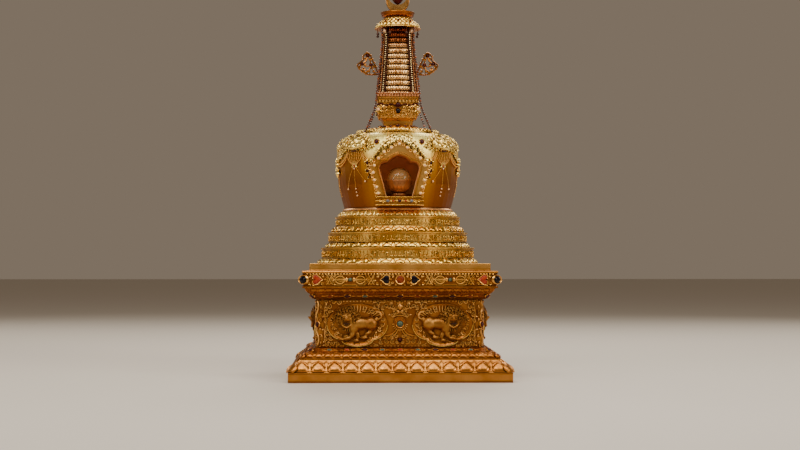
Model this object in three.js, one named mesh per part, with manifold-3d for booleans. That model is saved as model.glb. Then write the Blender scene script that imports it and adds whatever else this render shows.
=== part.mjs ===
// A reliquary stupa in gilt metal: a square throne, four round tiers, an inverted-bell dome with a niche,
// a square harmika, a thirteen-ring spire, an umbrella and a crescent finial.
// Millimetres, +Z up. The origin is the centre of the foot's underside, and the niche faces -Y.

import * as THREE from 'three';
import { mergeVertices } from 'three/addons/utils/BufferGeometryUtils.js';
import Module from 'manifold-3d';

const wasm = await Module();
wasm.setup();

// Joint left between two pieces that rest on each other
const SEAM = 0.3;

// Throne: heights of the joints above the floor, and half widths of the square sections
const FOOT_TOP = 35;
const FOOT_HALF = 392;
const SLOPE_TOP = 77;
const FOOT_PETALS = { perSide: 13, pitch: 57.5, height: 56, reach: 371, halfSize: [24, 6, 24], lean: 39 };
const FOOT_CORNER_PETAL = { halfSize: [19, 6, 22], lean: 49 };
const LOWER_LOTUS_TOP = 103;
const CORE_BOTTOM = 117;
const CORE_TOP = 288;
const CORE_HALF = 290;
const PANEL_HALF_WIDTH = 268;
const PANEL_MARGIN = 1;
const PANEL_PLATE = 5;
const CARTOUCHE_RELIEF = 6;
const CARTOUCHE_OFFSET = 151;
const CARTOUCHE_CENTRE = 197;
const CARTOUCHE_HALF_SIZE = [107, 76];
const LION_SEAT = 3;
const LION_DEPTH = 30;
const PANEL_BOSS = { height: 206.5, radius: 21, relief: 8 };

// Lion that crouches in a cartouche and looks to the right: haunch, trunk, chest, head, muzzle, jaw, hind leg,
// hind paw, foreleg and forepaw, each [x, height, distance out] from the cartouche's centre, then half sizes
const LION = [
  [-48, 5, 0, 24, 24, 19], [-12, 5, 0, 33, 21, 16], [14, -6, -2, 23, 25, 13], [35, 24, 3, 26, 21, 13],
  [38, 22, 16, 12, 8, 11], [38, -3, 10, 17, 7, 8], [-39, -28, -1, 14, 7, 9], [-24, -44, 0, 13, 6, 8],
  [18, -32, -1, 9, 15, 9], [46, -48, 2, 20, 6, 8],
];

const CORNICE_GEM_TOP = 307;
const CORNICE_COVE_TOP = 328;
const FRIEZE_TOP = 388;
const FRIEZE_HALF = 344;
const THRONE_TOP = 414.5;
const THRONE_TOP_HALF = 320;

// Round tiers: a lotus ring and a drum each, from the throne up
const TIERS = [
  { ringTop: 434, top: 472.7, ringFoot: 297, ringHead: 283, drum: 285 },
  { ringTop: 492.5, top: 529, ringFoot: 266, ringHead: 255, drum: 259 },
  { ringTop: 551, top: 587, ringFoot: 245, ringHead: 234, drum: 232 },
];
const FOURTH_RING = { top: 607.5, foot: 219, head: 207 };
const TIER_LIP = 4;
const TIER_LIP_HEIGHT = 6;

// Dome: an inverted bell, and the niche in its front
const DOME_BOTTOM = 618;
const DOME_SEAT_RADIUS = 203;
const DOME_SECTION = [[199, 618], [211, 661], [222, 709], [228, 785], [228, 815], [226, 848], [218, 866], [207, 878], [194, 887], [180, 892]];
const DOME_TOP = 892;
const NICHE_BACK = 118;
const NICHE_FLOOR = 660;
const PORTAL_FRONT = 240;
const SILL_FRONT = 256;
const SILL_BOTTOM = 623;
const SILL_TOP = 655;
const RELIC_SETBACK = 175;
const BOWL_RIM_HEIGHT = 717;
const BOWL_RIM_RADIUS = 49;
const CRYSTAL_RADIUS = 41;
const MASK_RADIUS = 228;
const MASK_HEIGHT = 850;
const MASK_HALF_SIZE = [60, 24, 28];

// Crown of the dome and the harmika
const PLATE_RADIUS = 155;
const PLATE_TOP = 903;
const GEM_CROWN_TOP = 927;
const NECK_TOP = 955;
const HARMIKA_HALF = 74;
const HARMIKA_CORNICE = 1027;
const HARMIKA_TOP = 1036;

// Spire, its ears, umbrella, bowl and finial
const RING_COUNT = 13;
const SPIRE_TOP = 1300;
const RING_RADIUS_LOWEST = 68;
const RING_RADIUS_HIGHEST = 49;
const RING_GROOVE = 9;
const EAR_THICKNESS = 6;
const UMBRELLA_RIM_RADIUS = 86.5;
const UMBRELLA_RIM_BOTTOM = 1294;
const UMBRELLA_TOP = 1334;
const BOWL_TOP = 1359;
const CRESCENT_CENTRE = 1403;
const CRESCENT_RADIUS = 44;
const CRESCENT_INNER_CENTRE = 1425;
const CRESCENT_INNER_RADIUS = 36;
const CRESCENT_THICKNESS = 12;
const FINIAL_TOP = 1465;

// Chains from the umbrella's rim to the shoulder of the dome: [distance from the axis, height]
const CHAIN_RADIUS = 4;
const CHAIN_ROUTE = [
  [83, UMBRELLA_RIM_BOTTOM - SEAM], [86, 1250], [91, 1210], [99, 1158], [106, 1100], [111, 1060], [114.5, 1034],
  [118, 1008], [127, 982], [142, 955], [158, 926], [171, 905], [179, DOME_TOP + 3],
];

// Segments round the axis
const ROUND = 48;
const SMALL_ROUND = 24;

const stupa = new THREE.Group();

const gilt = { color: 0xc98a2b, roughness: 0.32, metalness: 1 };
const brightGilt = { color: 0xe0b060, roughness: 0.25, metalness: 1 };
const darkGilt = { color: 0x9a5a14, roughness: 0.3, metalness: 1 };
const redLacquer = { color: 0x7a2a14, roughness: 0.35, metalness: 0.4 };
const garnet = { color: 0x6a0f10, roughness: 0.1, metalness: 0 };
const crystal = { color: 0xdfe6e2, roughness: 0.05, metalness: 0 };
const steelDark = { color: 0x3a3430, roughness: 0.4, metalness: 0.8 };

// Adds a piece to a group, as its own mesh with its own material
function add(group, name, geometry, finish, turn = 0) {
  const piece = new THREE.Mesh(geometry, new THREE.MeshStandardMaterial(finish));
  piece.name = name;
  piece.rotation.z = turn;
  group.add(piece);
  return piece;
}

// A solid of revolution from rows of [radius, height], lowest first, closed on the axis
function turned(rows, segments = ROUND, start = 0) {
  const outline = rows.map(([radius, z]) => new THREE.Vector2(radius, z));
  if (rows[0][0] > 0) outline.unshift(new THREE.Vector2(0, rows[0][1]));
  if (rows.at(-1)[0] > 0) outline.push(new THREE.Vector2(0, rows.at(-1)[1]));
  const geometry = new THREE.LatheGeometry(outline, segments, start);
  geometry.rotateX(Math.PI / 2);
  return geometry;
}

// A moulding of square plan from rows of [half width, height]
function squared(rows) {
  return turned(rows.map(([half, z]) => [half * Math.SQRT2, z]), 4, Math.PI / 4);
}

// A plate whose outline is drawn in X and Z, from yBack to yFront on the side that faces -Y
function frontPlate(outline, yBack, yFront, curveSegments = 8) {
  const options = { depth: yFront - yBack, bevelEnabled: false, curveSegments };
  const geometry = new THREE.ExtrudeGeometry(outline, options);
  geometry.rotateX(Math.PI / 2);
  geometry.translate(0, -yBack, 0);
  return geometry;
}

// Mesh to boolean solid: shared vertices merged, and triangles without area on the axis left out
function toSolid(geometry) {
  const bare = geometry.clone();
  bare.deleteAttribute('normal');
  bare.deleteAttribute('uv');
  const merged = mergeVertices(bare, 1e-3);
  const corners = merged.index.array;
  const kept = [];
  for (let i = 0; i < corners.length; i += 3) {
    const [a, b, c] = [corners[i], corners[i + 1], corners[i + 2]];
    if (a !== b && b !== c && c !== a) kept.push(a, b, c);
  }
  const vertProperties = merged.attributes.position.array;
  return new wasm.Manifold(new wasm.Mesh({ numProp: 3, vertProperties, triVerts: new Uint32Array(kept) }));
}

function toGeometry(solid) {
  const { vertProperties, triVerts } = solid.getMesh();
  const geometry = new THREE.BufferGeometry();
  geometry.setAttribute('position', new THREE.BufferAttribute(vertProperties, 3));
  geometry.setIndex(new THREE.BufferAttribute(triVerts, 1));
  geometry.computeVertexNormals();
  return geometry;
}

function joined(...geometries) {
  return toGeometry(geometries.map(toSolid).reduce((whole, next) => whole.add(next)));
}

function cut(geometry, ...cutters) {
  return toGeometry(cutters.map(toSolid).reduce((whole, next) => whole.subtract(next), toSolid(geometry)));
}

// A smooth closed outline through a few points
function closedOutline(points, divisions) {
  const curve = new THREE.CatmullRomCurve3(points.map(([x, z]) => new THREE.Vector3(x, z, 0)), true);
  const outline = curve.getPoints(divisions).slice(0, -1);
  return outline.map(({ x, y }) => new THREE.Vector2(x, y));
}

// An ellipsoid of a few faces
function ellipsoid(halfSize) {
  const geometry = new THREE.SphereGeometry(1, 8, 5);
  geometry.scale(...halfSize);
  return geometry;
}

// Square throne: lotus petals that lie on the slope of the foot, on the four sides and on the corners
function footPetals() {
  const petals = [];
  const lay = ({ halfSize, lean }, x, reach, turn) => {
    const petal = ellipsoid(halfSize);
    petal.rotateX(-THREE.MathUtils.degToRad(lean));
    petal.translate(x, -reach, FOOT_PETALS.height);
    petal.rotateZ(turn);
    petals.push(petal);
  };
  for (let side = 0; side < 4; side += 1) {
    const turn = side * Math.PI / 2;
    for (let i = 0; i < FOOT_PETALS.perSide; i += 1) {
      lay(FOOT_PETALS, (i - (FOOT_PETALS.perSide - 1) / 2) * FOOT_PETALS.pitch, FOOT_PETALS.reach, turn);
    }
    lay(FOOT_CORNER_PETAL, 0, FOOT_PETALS.reach * Math.SQRT2, turn + Math.PI / 4);
  }
  return petals;
}

function footAndBands(group) {
  add(group, 'foot_slab', squared([[FOOT_HALF, 0], [FOOT_HALF, FOOT_TOP]]), gilt);
  add(group, 'foot_slope', joined(squared([[388, FOOT_TOP + SEAM], [354, SLOPE_TOP]]), ...footPetals()), gilt);
  add(group, 'lower_lotus_band', squared([
    [351, SLOPE_TOP + SEAM], [351, 84], [348, 84.01], [342, 94], [330, LOWER_LOTUS_TOP],
  ]), brightGilt);
  add(group, 'lower_gem_band', squared([[328, LOWER_LOTUS_TOP + SEAM], [303, CORE_BOTTOM]]), gilt);
}

// Cartouche: an arched top, and a foot of two scallops each side that ends in a point
function cartoucheOutline(centre) {
  const [half, rise] = CARTOUCHE_HALF_SIZE;
  const tip = CARTOUCHE_CENTRE - rise;
  const foot = [
    [26, tip + 2, 44, tip + 10], [53, tip + 15, 57, tip + 24], [84, tip + 28, 97, tip + 48],
    [106, tip + 60, half, CARTOUCHE_CENTRE],
  ];
  const shape = new THREE.Shape();
  shape.moveTo(centre, tip);
  for (const [cx, cz, x, z] of foot) shape.quadraticCurveTo(centre + cx, cz, centre + x, z);
  shape.absellipse(centre, CARTOUCHE_CENTRE, half, rise, 0, Math.PI, false, 0);
  const ends = [[0, tip], ...foot.map(([, , x, z]) => [x, z])];
  for (let i = foot.length - 1; i >= 0; i -= 1) {
    const [cx, cz] = foot[i];
    shape.quadraticCurveTo(centre - cx, cz, centre - ends[i][0], ends[i][1]);
  }
  return shape;
}

function lionParts(side, face) {
  return LION.map(([x, z, out, ...halfSize]) => {
    const [halfX, halfZ, halfOut] = halfSize;
    const part = ellipsoid([halfX, halfOut, halfZ]);
    part.translate(side * (CARTOUCHE_OFFSET + x), -(face + out), CARTOUCHE_CENTRE + z);
    return part;
  });
}

function panelGeometry() {
  const low = CORE_BOTTOM + PANEL_MARGIN;
  const high = CORE_TOP - PANEL_MARGIN;
  const plate = new THREE.Shape([
    new THREE.Vector2(-PANEL_HALF_WIDTH, low), new THREE.Vector2(PANEL_HALF_WIDTH, low),
    new THREE.Vector2(PANEL_HALF_WIDTH, high), new THREE.Vector2(-PANEL_HALF_WIDTH, high),
  ]);
  const back = CORE_HALF + SEAM;
  const face = back + PANEL_PLATE;
  const boss = new THREE.Shape().absarc(0, PANEL_BOSS.height, PANEL_BOSS.radius, 0, Math.PI * 2, false);
  const parts = [frontPlate(plate, back, face), frontPlate(boss, face - 1, face + PANEL_BOSS.relief)];
  for (const side of [-1, 1]) {
    parts.push(frontPlate(cartoucheOutline(side * CARTOUCHE_OFFSET), face - 1, face + CARTOUCHE_RELIEF, 4));
    parts.push(...lionParts(side, face + LION_SEAT));
  }
  return cut(joined(...parts), frontPlate(plate, back - LION_DEPTH, back));
}

function throneBody(group) {
  add(group, 'throne_core', squared([[CORE_HALF, CORE_BOTTOM + SEAM], [CORE_HALF, CORE_TOP]]), darkGilt);
  const sides = ['front', 'right', 'back', 'left'];
  sides.forEach((side, i) => add(group, `throne_panel_${side}`, panelGeometry(), gilt, i * Math.PI / 2));
}

function cornice(group) {
  add(group, 'cornice_gem_band', squared([
    [299, CORE_TOP + SEAM], [303, CORE_TOP + 4], [318, CORNICE_GEM_TOP],
  ]), gilt);
  add(group, 'cornice_cove', squared([
    [319, CORNICE_GEM_TOP + SEAM], [325, CORNICE_GEM_TOP + 7], [337, CORNICE_COVE_TOP],
  ]), brightGilt);
  add(group, 'frieze', squared([
    [FRIEZE_HALF, CORNICE_COVE_TOP + SEAM], [FRIEZE_HALF, CORNICE_COVE_TOP + 7], [FRIEZE_HALF - 5, CORNICE_COVE_TOP + 8],
    [FRIEZE_HALF - 5, FRIEZE_TOP - 8], [FRIEZE_HALF, FRIEZE_TOP - 7], [FRIEZE_HALF, FRIEZE_TOP],
  ]), gilt);
  add(group, 'throne_top_slab', squared([
    [THRONE_TOP_HALF, FRIEZE_TOP + SEAM], [THRONE_TOP_HALF, THRONE_TOP - 2], [THRONE_TOP_HALF - 2, THRONE_TOP],
  ]), gilt);
}

// Round tiers
function tiers(group) {
  let level = THRONE_TOP;
  TIERS.forEach((tier, i) => {
    const middle = (tier.ringFoot + tier.ringHead) / 2;
    add(group, `lotus_ring_${i + 1}`, turned([
      [tier.ringFoot - 3, level + SEAM], [tier.ringFoot, level + 4], [middle + 2, (level + tier.ringTop) / 2],
      [tier.ringHead, tier.ringTop],
    ]), brightGilt);
    add(group, `tier_${i + 1}`, turned([
      [tier.drum - 2, tier.ringTop + SEAM], [tier.drum - 2, tier.top - TIER_LIP_HEIGHT - 2],
      [tier.drum + TIER_LIP - 2, tier.top - TIER_LIP_HEIGHT], [tier.drum + TIER_LIP - 2, tier.top],
    ]), gilt);
    level = tier.top;
  });
  add(group, 'lotus_ring_4', turned([
    [FOURTH_RING.foot - 3, level + SEAM], [FOURTH_RING.foot, level + 4],
    [(FOURTH_RING.foot + FOURTH_RING.head) / 2 + 2, (level + FOURTH_RING.top) / 2], [FOURTH_RING.head, FOURTH_RING.top],
  ]), brightGilt);
  add(group, 'dome_seat', turned([
    [DOME_SEAT_RADIUS, FOURTH_RING.top + SEAM], [DOME_SEAT_RADIUS, DOME_BOTTOM - SEAM],
  ]), gilt);
}

// Dome section, grown outward by a clearance where it is used as a cutter
function domeGeometry(clearance = 0) {
  const curve = new THREE.SplineCurve(DOME_SECTION.map(([radius, z]) => new THREE.Vector2(radius + clearance, z)));
  return turned(curve.getPoints(14).map(({ x, y }) => [x, y]));
}

// Pointed trefoil opening of the niche, from a given sill height
function nicheOutline(bottom) {
  const shape = new THREE.Shape();
  shape.moveTo(-48, bottom);
  shape.lineTo(48, bottom);
  shape.quadraticCurveTo(60, 706, 73, 752);
  shape.quadraticCurveTo(76, 784, 42, 784);
  shape.quadraticCurveTo(30, 800, 0, 808);
  shape.quadraticCurveTo(-30, 800, -42, 784);
  shape.quadraticCurveTo(-76, 784, -73, 752);
  shape.quadraticCurveTo(-60, 706, -48, bottom);
  return shape;
}

function portalOutline() {
  const bottom = SILL_TOP + SEAM;
  const shape = new THREE.Shape();
  shape.moveTo(-78, bottom);
  shape.lineTo(78, bottom);
  shape.quadraticCurveTo(88, 712, 106, 762);
  shape.lineTo(96, 778);
  shape.quadraticCurveTo(44, 812, 0, 854);
  shape.quadraticCurveTo(-44, 812, -96, 778);
  shape.lineTo(-106, 762);
  shape.quadraticCurveTo(-88, 712, -78, bottom);
  return shape;
}

function sillOutline() {
  const step = (SILL_BOTTOM + SILL_TOP) / 2;
  const corners = [[-86.5, SILL_BOTTOM], [86.5, SILL_BOTTOM], [86.5, step], [81, step], [81, SILL_TOP], [-81, SILL_TOP], [-81, step], [-86.5, step]];
  return new THREE.Shape(corners.map(([x, z]) => new THREE.Vector2(x, z)));
}

function domeAndNiche(group) {
  const inDome = 150;
  const grown = domeGeometry(SEAM);
  const opening = frontPlate(nicheOutline(NICHE_FLOOR), NICHE_BACK, PORTAL_FRONT + 10);
  add(group, 'dome', cut(domeGeometry(), opening), darkGilt);
  const doorway = frontPlate(nicheOutline(SILL_TOP - 5), inDome - 5, PORTAL_FRONT + 10);
  const portal = frontPlate(portalOutline(), inDome, PORTAL_FRONT);
  add(group, 'niche_frame', cut(portal, doorway, grown), brightGilt);
  add(group, 'niche_sill', cut(frontPlate(sillOutline(), inDome, SILL_FRONT), grown), brightGilt);
}

function relic(group) {
  const seat = new THREE.Group();
  seat.position.y = -RELIC_SETBACK;
  add(seat, 'relic_bowl', turned([
    [27, NICHE_FLOOR + SEAM], [27, NICHE_FLOOR + 5], [20, NICHE_FLOOR + 10], [29, NICHE_FLOOR + 16], [42, 694],
    [BOWL_RIM_RADIUS, BOWL_RIM_HEIGHT - 5], [BOWL_RIM_RADIUS, BOWL_RIM_HEIGHT],
  ], SMALL_ROUND), gilt);
  const rows = [];
  const low = BOWL_RIM_HEIGHT + SEAM;
  for (let i = 0; i <= 6; i += 1) {
    const angle = (i / 6) * Math.PI / 2;
    rows.push([CRYSTAL_RADIUS * Math.cos(angle), low + 4 + CRYSTAL_RADIUS * Math.sin(angle)]);
  }
  rows[6][0] = 0;
  add(seat, 'crystal_dome', turned([[CRYSTAL_RADIUS, low], ...rows], SMALL_ROUND), crystal);
  group.add(seat);
}

// Monster masks on the four diagonals of the shoulder
function masks(group) {
  const ball = new THREE.SphereGeometry(1, 16, 10);
  ball.scale(...MASK_HALF_SIZE);
  ball.translate(0, -MASK_RADIUS, MASK_HEIGHT);
  const face = cut(ball, domeGeometry(SEAM));
  const corners = ['front_right', 'back_right', 'back_left', 'front_left'];
  corners.forEach((corner, i) => add(group, `mask_${corner}`, face.clone(), gilt, Math.PI / 4 + i * Math.PI / 2));
}

// Plate, gem crown and harmika
function harmika(group) {
  add(group, 'dome_plate', turned([
    [PLATE_RADIUS - 7, DOME_TOP + SEAM], [PLATE_RADIUS - 7, DOME_TOP + 4], [PLATE_RADIUS, DOME_TOP + 5],
    [PLATE_RADIUS, PLATE_TOP],
  ]), brightGilt);
  add(group, 'gem_crown', turned([
    [70, PLATE_TOP + SEAM], [80, PLATE_TOP + 8], [78, PLATE_TOP + 16], [63, GEM_CROWN_TOP],
  ]), gilt);
  add(group, 'harmika_neck', squared([
    [54, GEM_CROWN_TOP + SEAM], [56, GEM_CROWN_TOP + 18], [62, NECK_TOP],
  ]), gilt);
  add(group, 'harmika', squared([
    [HARMIKA_HALF - 9, NECK_TOP + SEAM], [HARMIKA_HALF - 5, NECK_TOP + 13], [HARMIKA_HALF - 1, NECK_TOP + 30],
    [HARMIKA_HALF, NECK_TOP + 48], [HARMIKA_HALF, HARMIKA_CORNICE], [HARMIKA_HALF + 3, HARMIKA_CORNICE + 1],
    [HARMIKA_HALF + 3, HARMIKA_TOP],
  ]), gilt);
}

// Thirteen rings on a tapering core, grown outward by a clearance where they are used as a cutter
function ringsGeometry(clearance = 0) {
  const bottom = HARMIKA_TOP + SEAM;
  const pitch = (SPIRE_TOP - bottom) / RING_COUNT;
  const rows = [];
  for (let i = 0; i < RING_COUNT; i += 1) {
    const share = i / (RING_COUNT - 1);
    const radius = THREE.MathUtils.lerp(RING_RADIUS_LOWEST, RING_RADIUS_HIGHEST, share) + clearance;
    const z = bottom + i * pitch;
    rows.push([radius - RING_GROOVE, z]);
    rows.push([radius - 0.5, z + pitch * 0.22]);
    rows.push([radius, z + pitch * 0.5]);
    rows.push([radius - 3, z + pitch * 0.82]);
  }
  rows.push([RING_RADIUS_HIGHEST - RING_GROOVE, SPIRE_TOP]);
  return turned(rows, SMALL_ROUND);
}

function spireRings(group) {
  add(group, 'spire_rings', ringsGeometry(), brightGilt);
}

// Scrolled cloud-shaped ear on a stem, cut to the rings that carry it
function earOutline(side) {
  const points = [
    [50, 1121], [84, 1119], [101, 1116], [119, 1120], [134, 1129], [146, 1144], [152, 1163], [141, 1173], [132, 1184],
    [126, 1203], [113, 1210], [103, 1202], [102, 1188], [92, 1174], [81, 1157], [77, 1139], [50, 1133],
  ];
  const placed = points.map(([x, z]) => [side * x, z]);
  if (side < 0) placed.reverse();
  const shape = new THREE.Shape(closedOutline(placed, 60));
  for (const [x, z, radius] of [[109, 1177, 5], [122, 1147, 9], [93, 1141, 6]]) {
    shape.holes.push(new THREE.Path().absarc(side * x, z, radius, 0, Math.PI * 2, true));
  }
  return shape;
}

function ears(group) {
  const half = EAR_THICKNESS / 2;
  const carrier = ringsGeometry(SEAM);
  for (const [side, name] of [[-1, 'ear_left'], [1, 'ear_right']]) {
    add(group, name, cut(frontPlate(earOutline(side), -half, half, 5), carrier), brightGilt);
  }
}

function umbrellaAndBowl(group) {
  add(group, 'umbrella', turned([
    [78, SPIRE_TOP + SEAM], [80, UMBRELLA_RIM_BOTTOM], [UMBRELLA_RIM_RADIUS, UMBRELLA_RIM_BOTTOM],
    [UMBRELLA_RIM_RADIUS, UMBRELLA_RIM_BOTTOM + 5], [70, 1311], [57, 1323], [50, UMBRELLA_TOP],
  ], SMALL_ROUND), gilt);
  add(group, 'upper_bowl', turned([
    [48, UMBRELLA_TOP + SEAM], [49, UMBRELLA_TOP + 6], [56, 1347], [63.5, 1355], [63.5, BOWL_TOP],
  ], SMALL_ROUND), redLacquer);
}

// Crescent with its horns up, on a short foot, and the jewel between the horns
function crescentOutline() {
  const footHalf = 10;
  const footAngle = Math.asin(footHalf / CRESCENT_RADIUS);
  const horn = THREE.MathUtils.degToRad(33);
  const innerHorn = THREE.MathUtils.degToRad(3.2);
  const shape = new THREE.Shape();
  shape.moveTo(-footHalf, BOWL_TOP + SEAM);
  shape.lineTo(footHalf, BOWL_TOP + SEAM);
  shape.absarc(0, CRESCENT_CENTRE, CRESCENT_RADIUS, -Math.PI / 2 + footAngle, horn, false);
  shape.absarc(0, CRESCENT_INNER_CENTRE, CRESCENT_INNER_RADIUS, innerHorn, Math.PI - innerHorn, true);
  shape.absarc(0, CRESCENT_CENTRE, CRESCENT_RADIUS, Math.PI - horn, Math.PI * 1.5 - footAngle, false);
  return shape;
}

function finial(group) {
  const half = CRESCENT_THICKNESS / 2;
  add(group, 'crescent', frontPlate(crescentOutline(), -half, half, 12), brightGilt);
  const seat = CRESCENT_INNER_CENTRE - CRESCENT_INNER_RADIUS + SEAM;
  add(group, 'flame_jewel', turned([
    [0, seat], [5, seat + 2], [13, seat + 8], [20, seat + 18], [22, seat + 28], [18, seat + 40], [10, seat + 50],
    [7, seat + 62], [0, FINIAL_TOP],
  ], 20), garnet);
}

// Chains on the four diagonals
function chainGeometry() {
  const points = CHAIN_ROUTE.map(([out, z]) => new THREE.Vector3(0, -out, z));
  const path = new THREE.CatmullRomCurve3(points);
  const section = new THREE.Shape().absarc(0, 0, CHAIN_RADIUS, 0, Math.PI * 2, false);
  return new THREE.ExtrudeGeometry(section, { steps: 26, curveSegments: 4, extrudePath: path });
}

function chains(group) {
  const corners = ['front_right', 'back_right', 'back_left', 'front_left'];
  corners.forEach((corner, i) => add(group, `chain_${corner}`, chainGeometry(), steelDark, Math.PI / 4 + i * Math.PI / 2));
}

for (const section of [
  footAndBands, throneBody, cornice, tiers, domeAndNiche, relic, masks, harmika, spireRings, ears, umbrellaAndBowl,
  finial, chains,
]) {
  const group = new THREE.Group();
  section(group);
  stupa.add(group);
}

export default stupa;
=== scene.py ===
import math
import bmesh
import bpy
import numpy as np
from mathutils import Matrix, Vector


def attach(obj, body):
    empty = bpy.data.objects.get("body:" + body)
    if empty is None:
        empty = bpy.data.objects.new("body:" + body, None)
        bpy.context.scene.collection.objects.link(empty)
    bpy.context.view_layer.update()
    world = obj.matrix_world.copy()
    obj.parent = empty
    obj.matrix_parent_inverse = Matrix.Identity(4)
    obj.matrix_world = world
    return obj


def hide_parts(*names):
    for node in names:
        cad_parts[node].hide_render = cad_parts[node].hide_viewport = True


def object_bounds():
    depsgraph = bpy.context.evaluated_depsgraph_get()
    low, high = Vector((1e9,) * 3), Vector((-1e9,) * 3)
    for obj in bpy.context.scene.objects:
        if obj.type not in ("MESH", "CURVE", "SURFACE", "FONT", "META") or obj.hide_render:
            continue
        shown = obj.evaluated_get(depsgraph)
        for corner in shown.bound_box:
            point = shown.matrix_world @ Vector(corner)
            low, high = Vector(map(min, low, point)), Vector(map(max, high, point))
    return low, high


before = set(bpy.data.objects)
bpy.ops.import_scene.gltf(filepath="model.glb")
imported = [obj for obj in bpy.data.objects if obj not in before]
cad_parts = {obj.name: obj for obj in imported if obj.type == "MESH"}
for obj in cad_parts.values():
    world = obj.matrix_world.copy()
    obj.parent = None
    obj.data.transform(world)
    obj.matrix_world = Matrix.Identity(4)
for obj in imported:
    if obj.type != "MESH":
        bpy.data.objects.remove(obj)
CAD_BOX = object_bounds()
MM = 0.001
FULL = 2 * math.pi
SIDES = (0, 90, 180, 270)
DIAGONALS = (45, 135, 225, 315)
EIGHTHS = tuple(k * 45 for k in range(8))
CORNER = math.sqrt(2)
SHARP_ANGLE = math.radians(40)


def table(text):
    """Rows of numbers: blanks between the numbers, commas between the rows."""
    return [[float(number) for number in row.split()] for row in text.split(",")]


# Unit meshes: (points in mm, corners per face, corner indices)

def skin(rings, closed=False):
    """A skin of quads over rings of points, capped at both ends or closed into a loop."""
    rings = np.asarray(rings, float)
    k, n, _ = rings.shape
    j, i = np.meshgrid(np.arange(k if closed else k - 1), np.arange(n), indexing="ij")
    a = (j * n + i).ravel()
    b = (j * n + (i + 1) % n).ravel()
    corners = np.stack([a, b, b + n, a + n], -1).ravel() % (k * n)
    sizes = np.full(len(a), 4)
    if not closed:
        corners = np.concatenate([corners, np.arange(n)[::-1], np.arange(n) + (k - 1) * n])
        sizes = np.append(sizes, [n, n])
    return rings.reshape(-1, 3), sizes, corners


def circle(count):
    t = np.arange(count) * FULL / count
    return np.stack([np.cos(t), np.sin(t)], -1)


def lathe(profile, count=24, closed=False):
    """A turned solid from (radius, height) points, bottom to top, or a ring from a closed line of them."""
    rings = [np.column_stack([circle(count) * max(r, 0.02), np.full(count, z)]) for r, z in profile]
    return skin(rings, closed)


def ball(radius, count=8, rows=5):
    t = [math.pi * (k / (rows - 1) - 0.5) for k in range(rows)]
    return lathe([(radius * math.cos(a), radius * math.sin(a)) for a in t], count)


def tube(path, radius, count=6, closed=False):
    """A round tube along a path; radius is one number or one for each point."""
    path = np.asarray(path, float)
    ahead = np.roll(path, -1, 0) - np.roll(path, 1, 0) if closed else np.gradient(path, axis=0)
    ahead /= np.maximum(np.linalg.norm(ahead, axis=1), 1e-9)[:, None]
    up = np.array([1.0, 0, 0] if abs(ahead[0][2]) > 0.9 else [0, 0, 1.0])
    t = np.arange(count) * FULL / count + (FULL / 16 if count == 4 else 0)
    rings = []
    for p, d, r in zip(path, ahead, np.broadcast_to(radius, (len(path),))):
        side = np.cross(up, d)
        side /= max(np.linalg.norm(side), 1e-9)
        up = np.cross(d, side)
        rings.append(p + r * (np.cos(t)[:, None] * side + np.sin(t)[:, None] * up))
    return skin(rings, closed)


def stepped(outline, levels, centre=None):
    """Rings of one outline on paper, each (shrink, height), closed over."""
    outline = np.asarray(outline, float)
    mid = outline.mean(0) if centre is None else np.asarray(centre, float)
    return skin([np.column_stack([mid + (outline - mid) * s, np.full(len(outline), z)]) for s, z in levels])


def domed(outline, height, steps=4, sink=1.0, centre=None):
    """A cushion over an outline on paper, anticlockwise, rising to its centre."""
    t = np.linspace(0, math.pi / 2, steps + 1)
    levels = list(zip(np.maximum(np.cos(t), 0.03), height * np.sin(t)))
    return stepped(outline, [(1, -sink)] + levels, centre)


# Outlines on paper

def oval(a, b=None, count=14):
    return circle(count) * (a, b or a)


def heart(size, count=20):
    """A heart with its tip to the right."""
    t = np.arange(count)[::-1] * FULL / count
    along = 13 * np.cos(t) - 5 * np.cos(2 * t) - 2 * np.cos(3 * t) - np.cos(4 * t)
    return np.column_stack([-along * size / 15, np.sin(t) ** 3 * size])


def petal_outline(width, height, count=5):
    """A lotus petal standing on its foot at the origin, with a small point."""
    t = np.arange(count) / count
    half = width / 2 * np.sin(math.pi * (0.18 + 0.82 * t)) ** 0.65
    side = np.column_stack([half, 0.88 * height * t ** 0.9])
    return np.vstack([side, (0, height), side[::-1] * (-1, 1)])


def leaf_outline(width, height, count=6):
    """A pointed leaf standing on its foot at the origin."""
    t = np.arange(count + 1) / count
    side = np.column_stack([width / 2 * np.sin(math.pi * t ** 0.8), height * t])
    return np.vstack([side, side[-2:0:-1] * (-1, 1)])


def quads(start, steps, count):
    """Points along quadratic curves: each step is (control x, control y, end x, end y)."""
    points = [start]
    for cx, cy, x, y in steps:
        x0, y0 = points[-1]
        for k in range(1, count + 1):
            t = k / count
            points.append(((1 - t) ** 2 * x0 + 2 * t * (1 - t) * cx + t * t * x,
                           (1 - t) ** 2 * y0 + 2 * t * (1 - t) * cy + t * t * y))
    return points


def smooth(points, count):
    """A smooth path of count points through the given ones."""
    p = np.asarray(points, float)
    if p.shape[1] == 2:
        p = np.column_stack([p, np.zeros(len(p))])
    e = np.vstack([2 * p[0] - p[1], p, 2 * p[-1] - p[-2]])
    t = np.linspace(0, len(p) - 1, count)
    i = np.minimum(t.astype(int), len(p) - 2)
    f = (t - i)[:, None]
    a, b, c, d = e[i], e[i + 1], e[i + 2], e[i + 3]
    bend = (2 * a - 5 * b + 4 * c - d) * f ** 2
    return 0.5 * (2 * b + (c - a) * f + bend + (3 * b - a - 3 * c + d) * f ** 3)


# Placing

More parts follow.
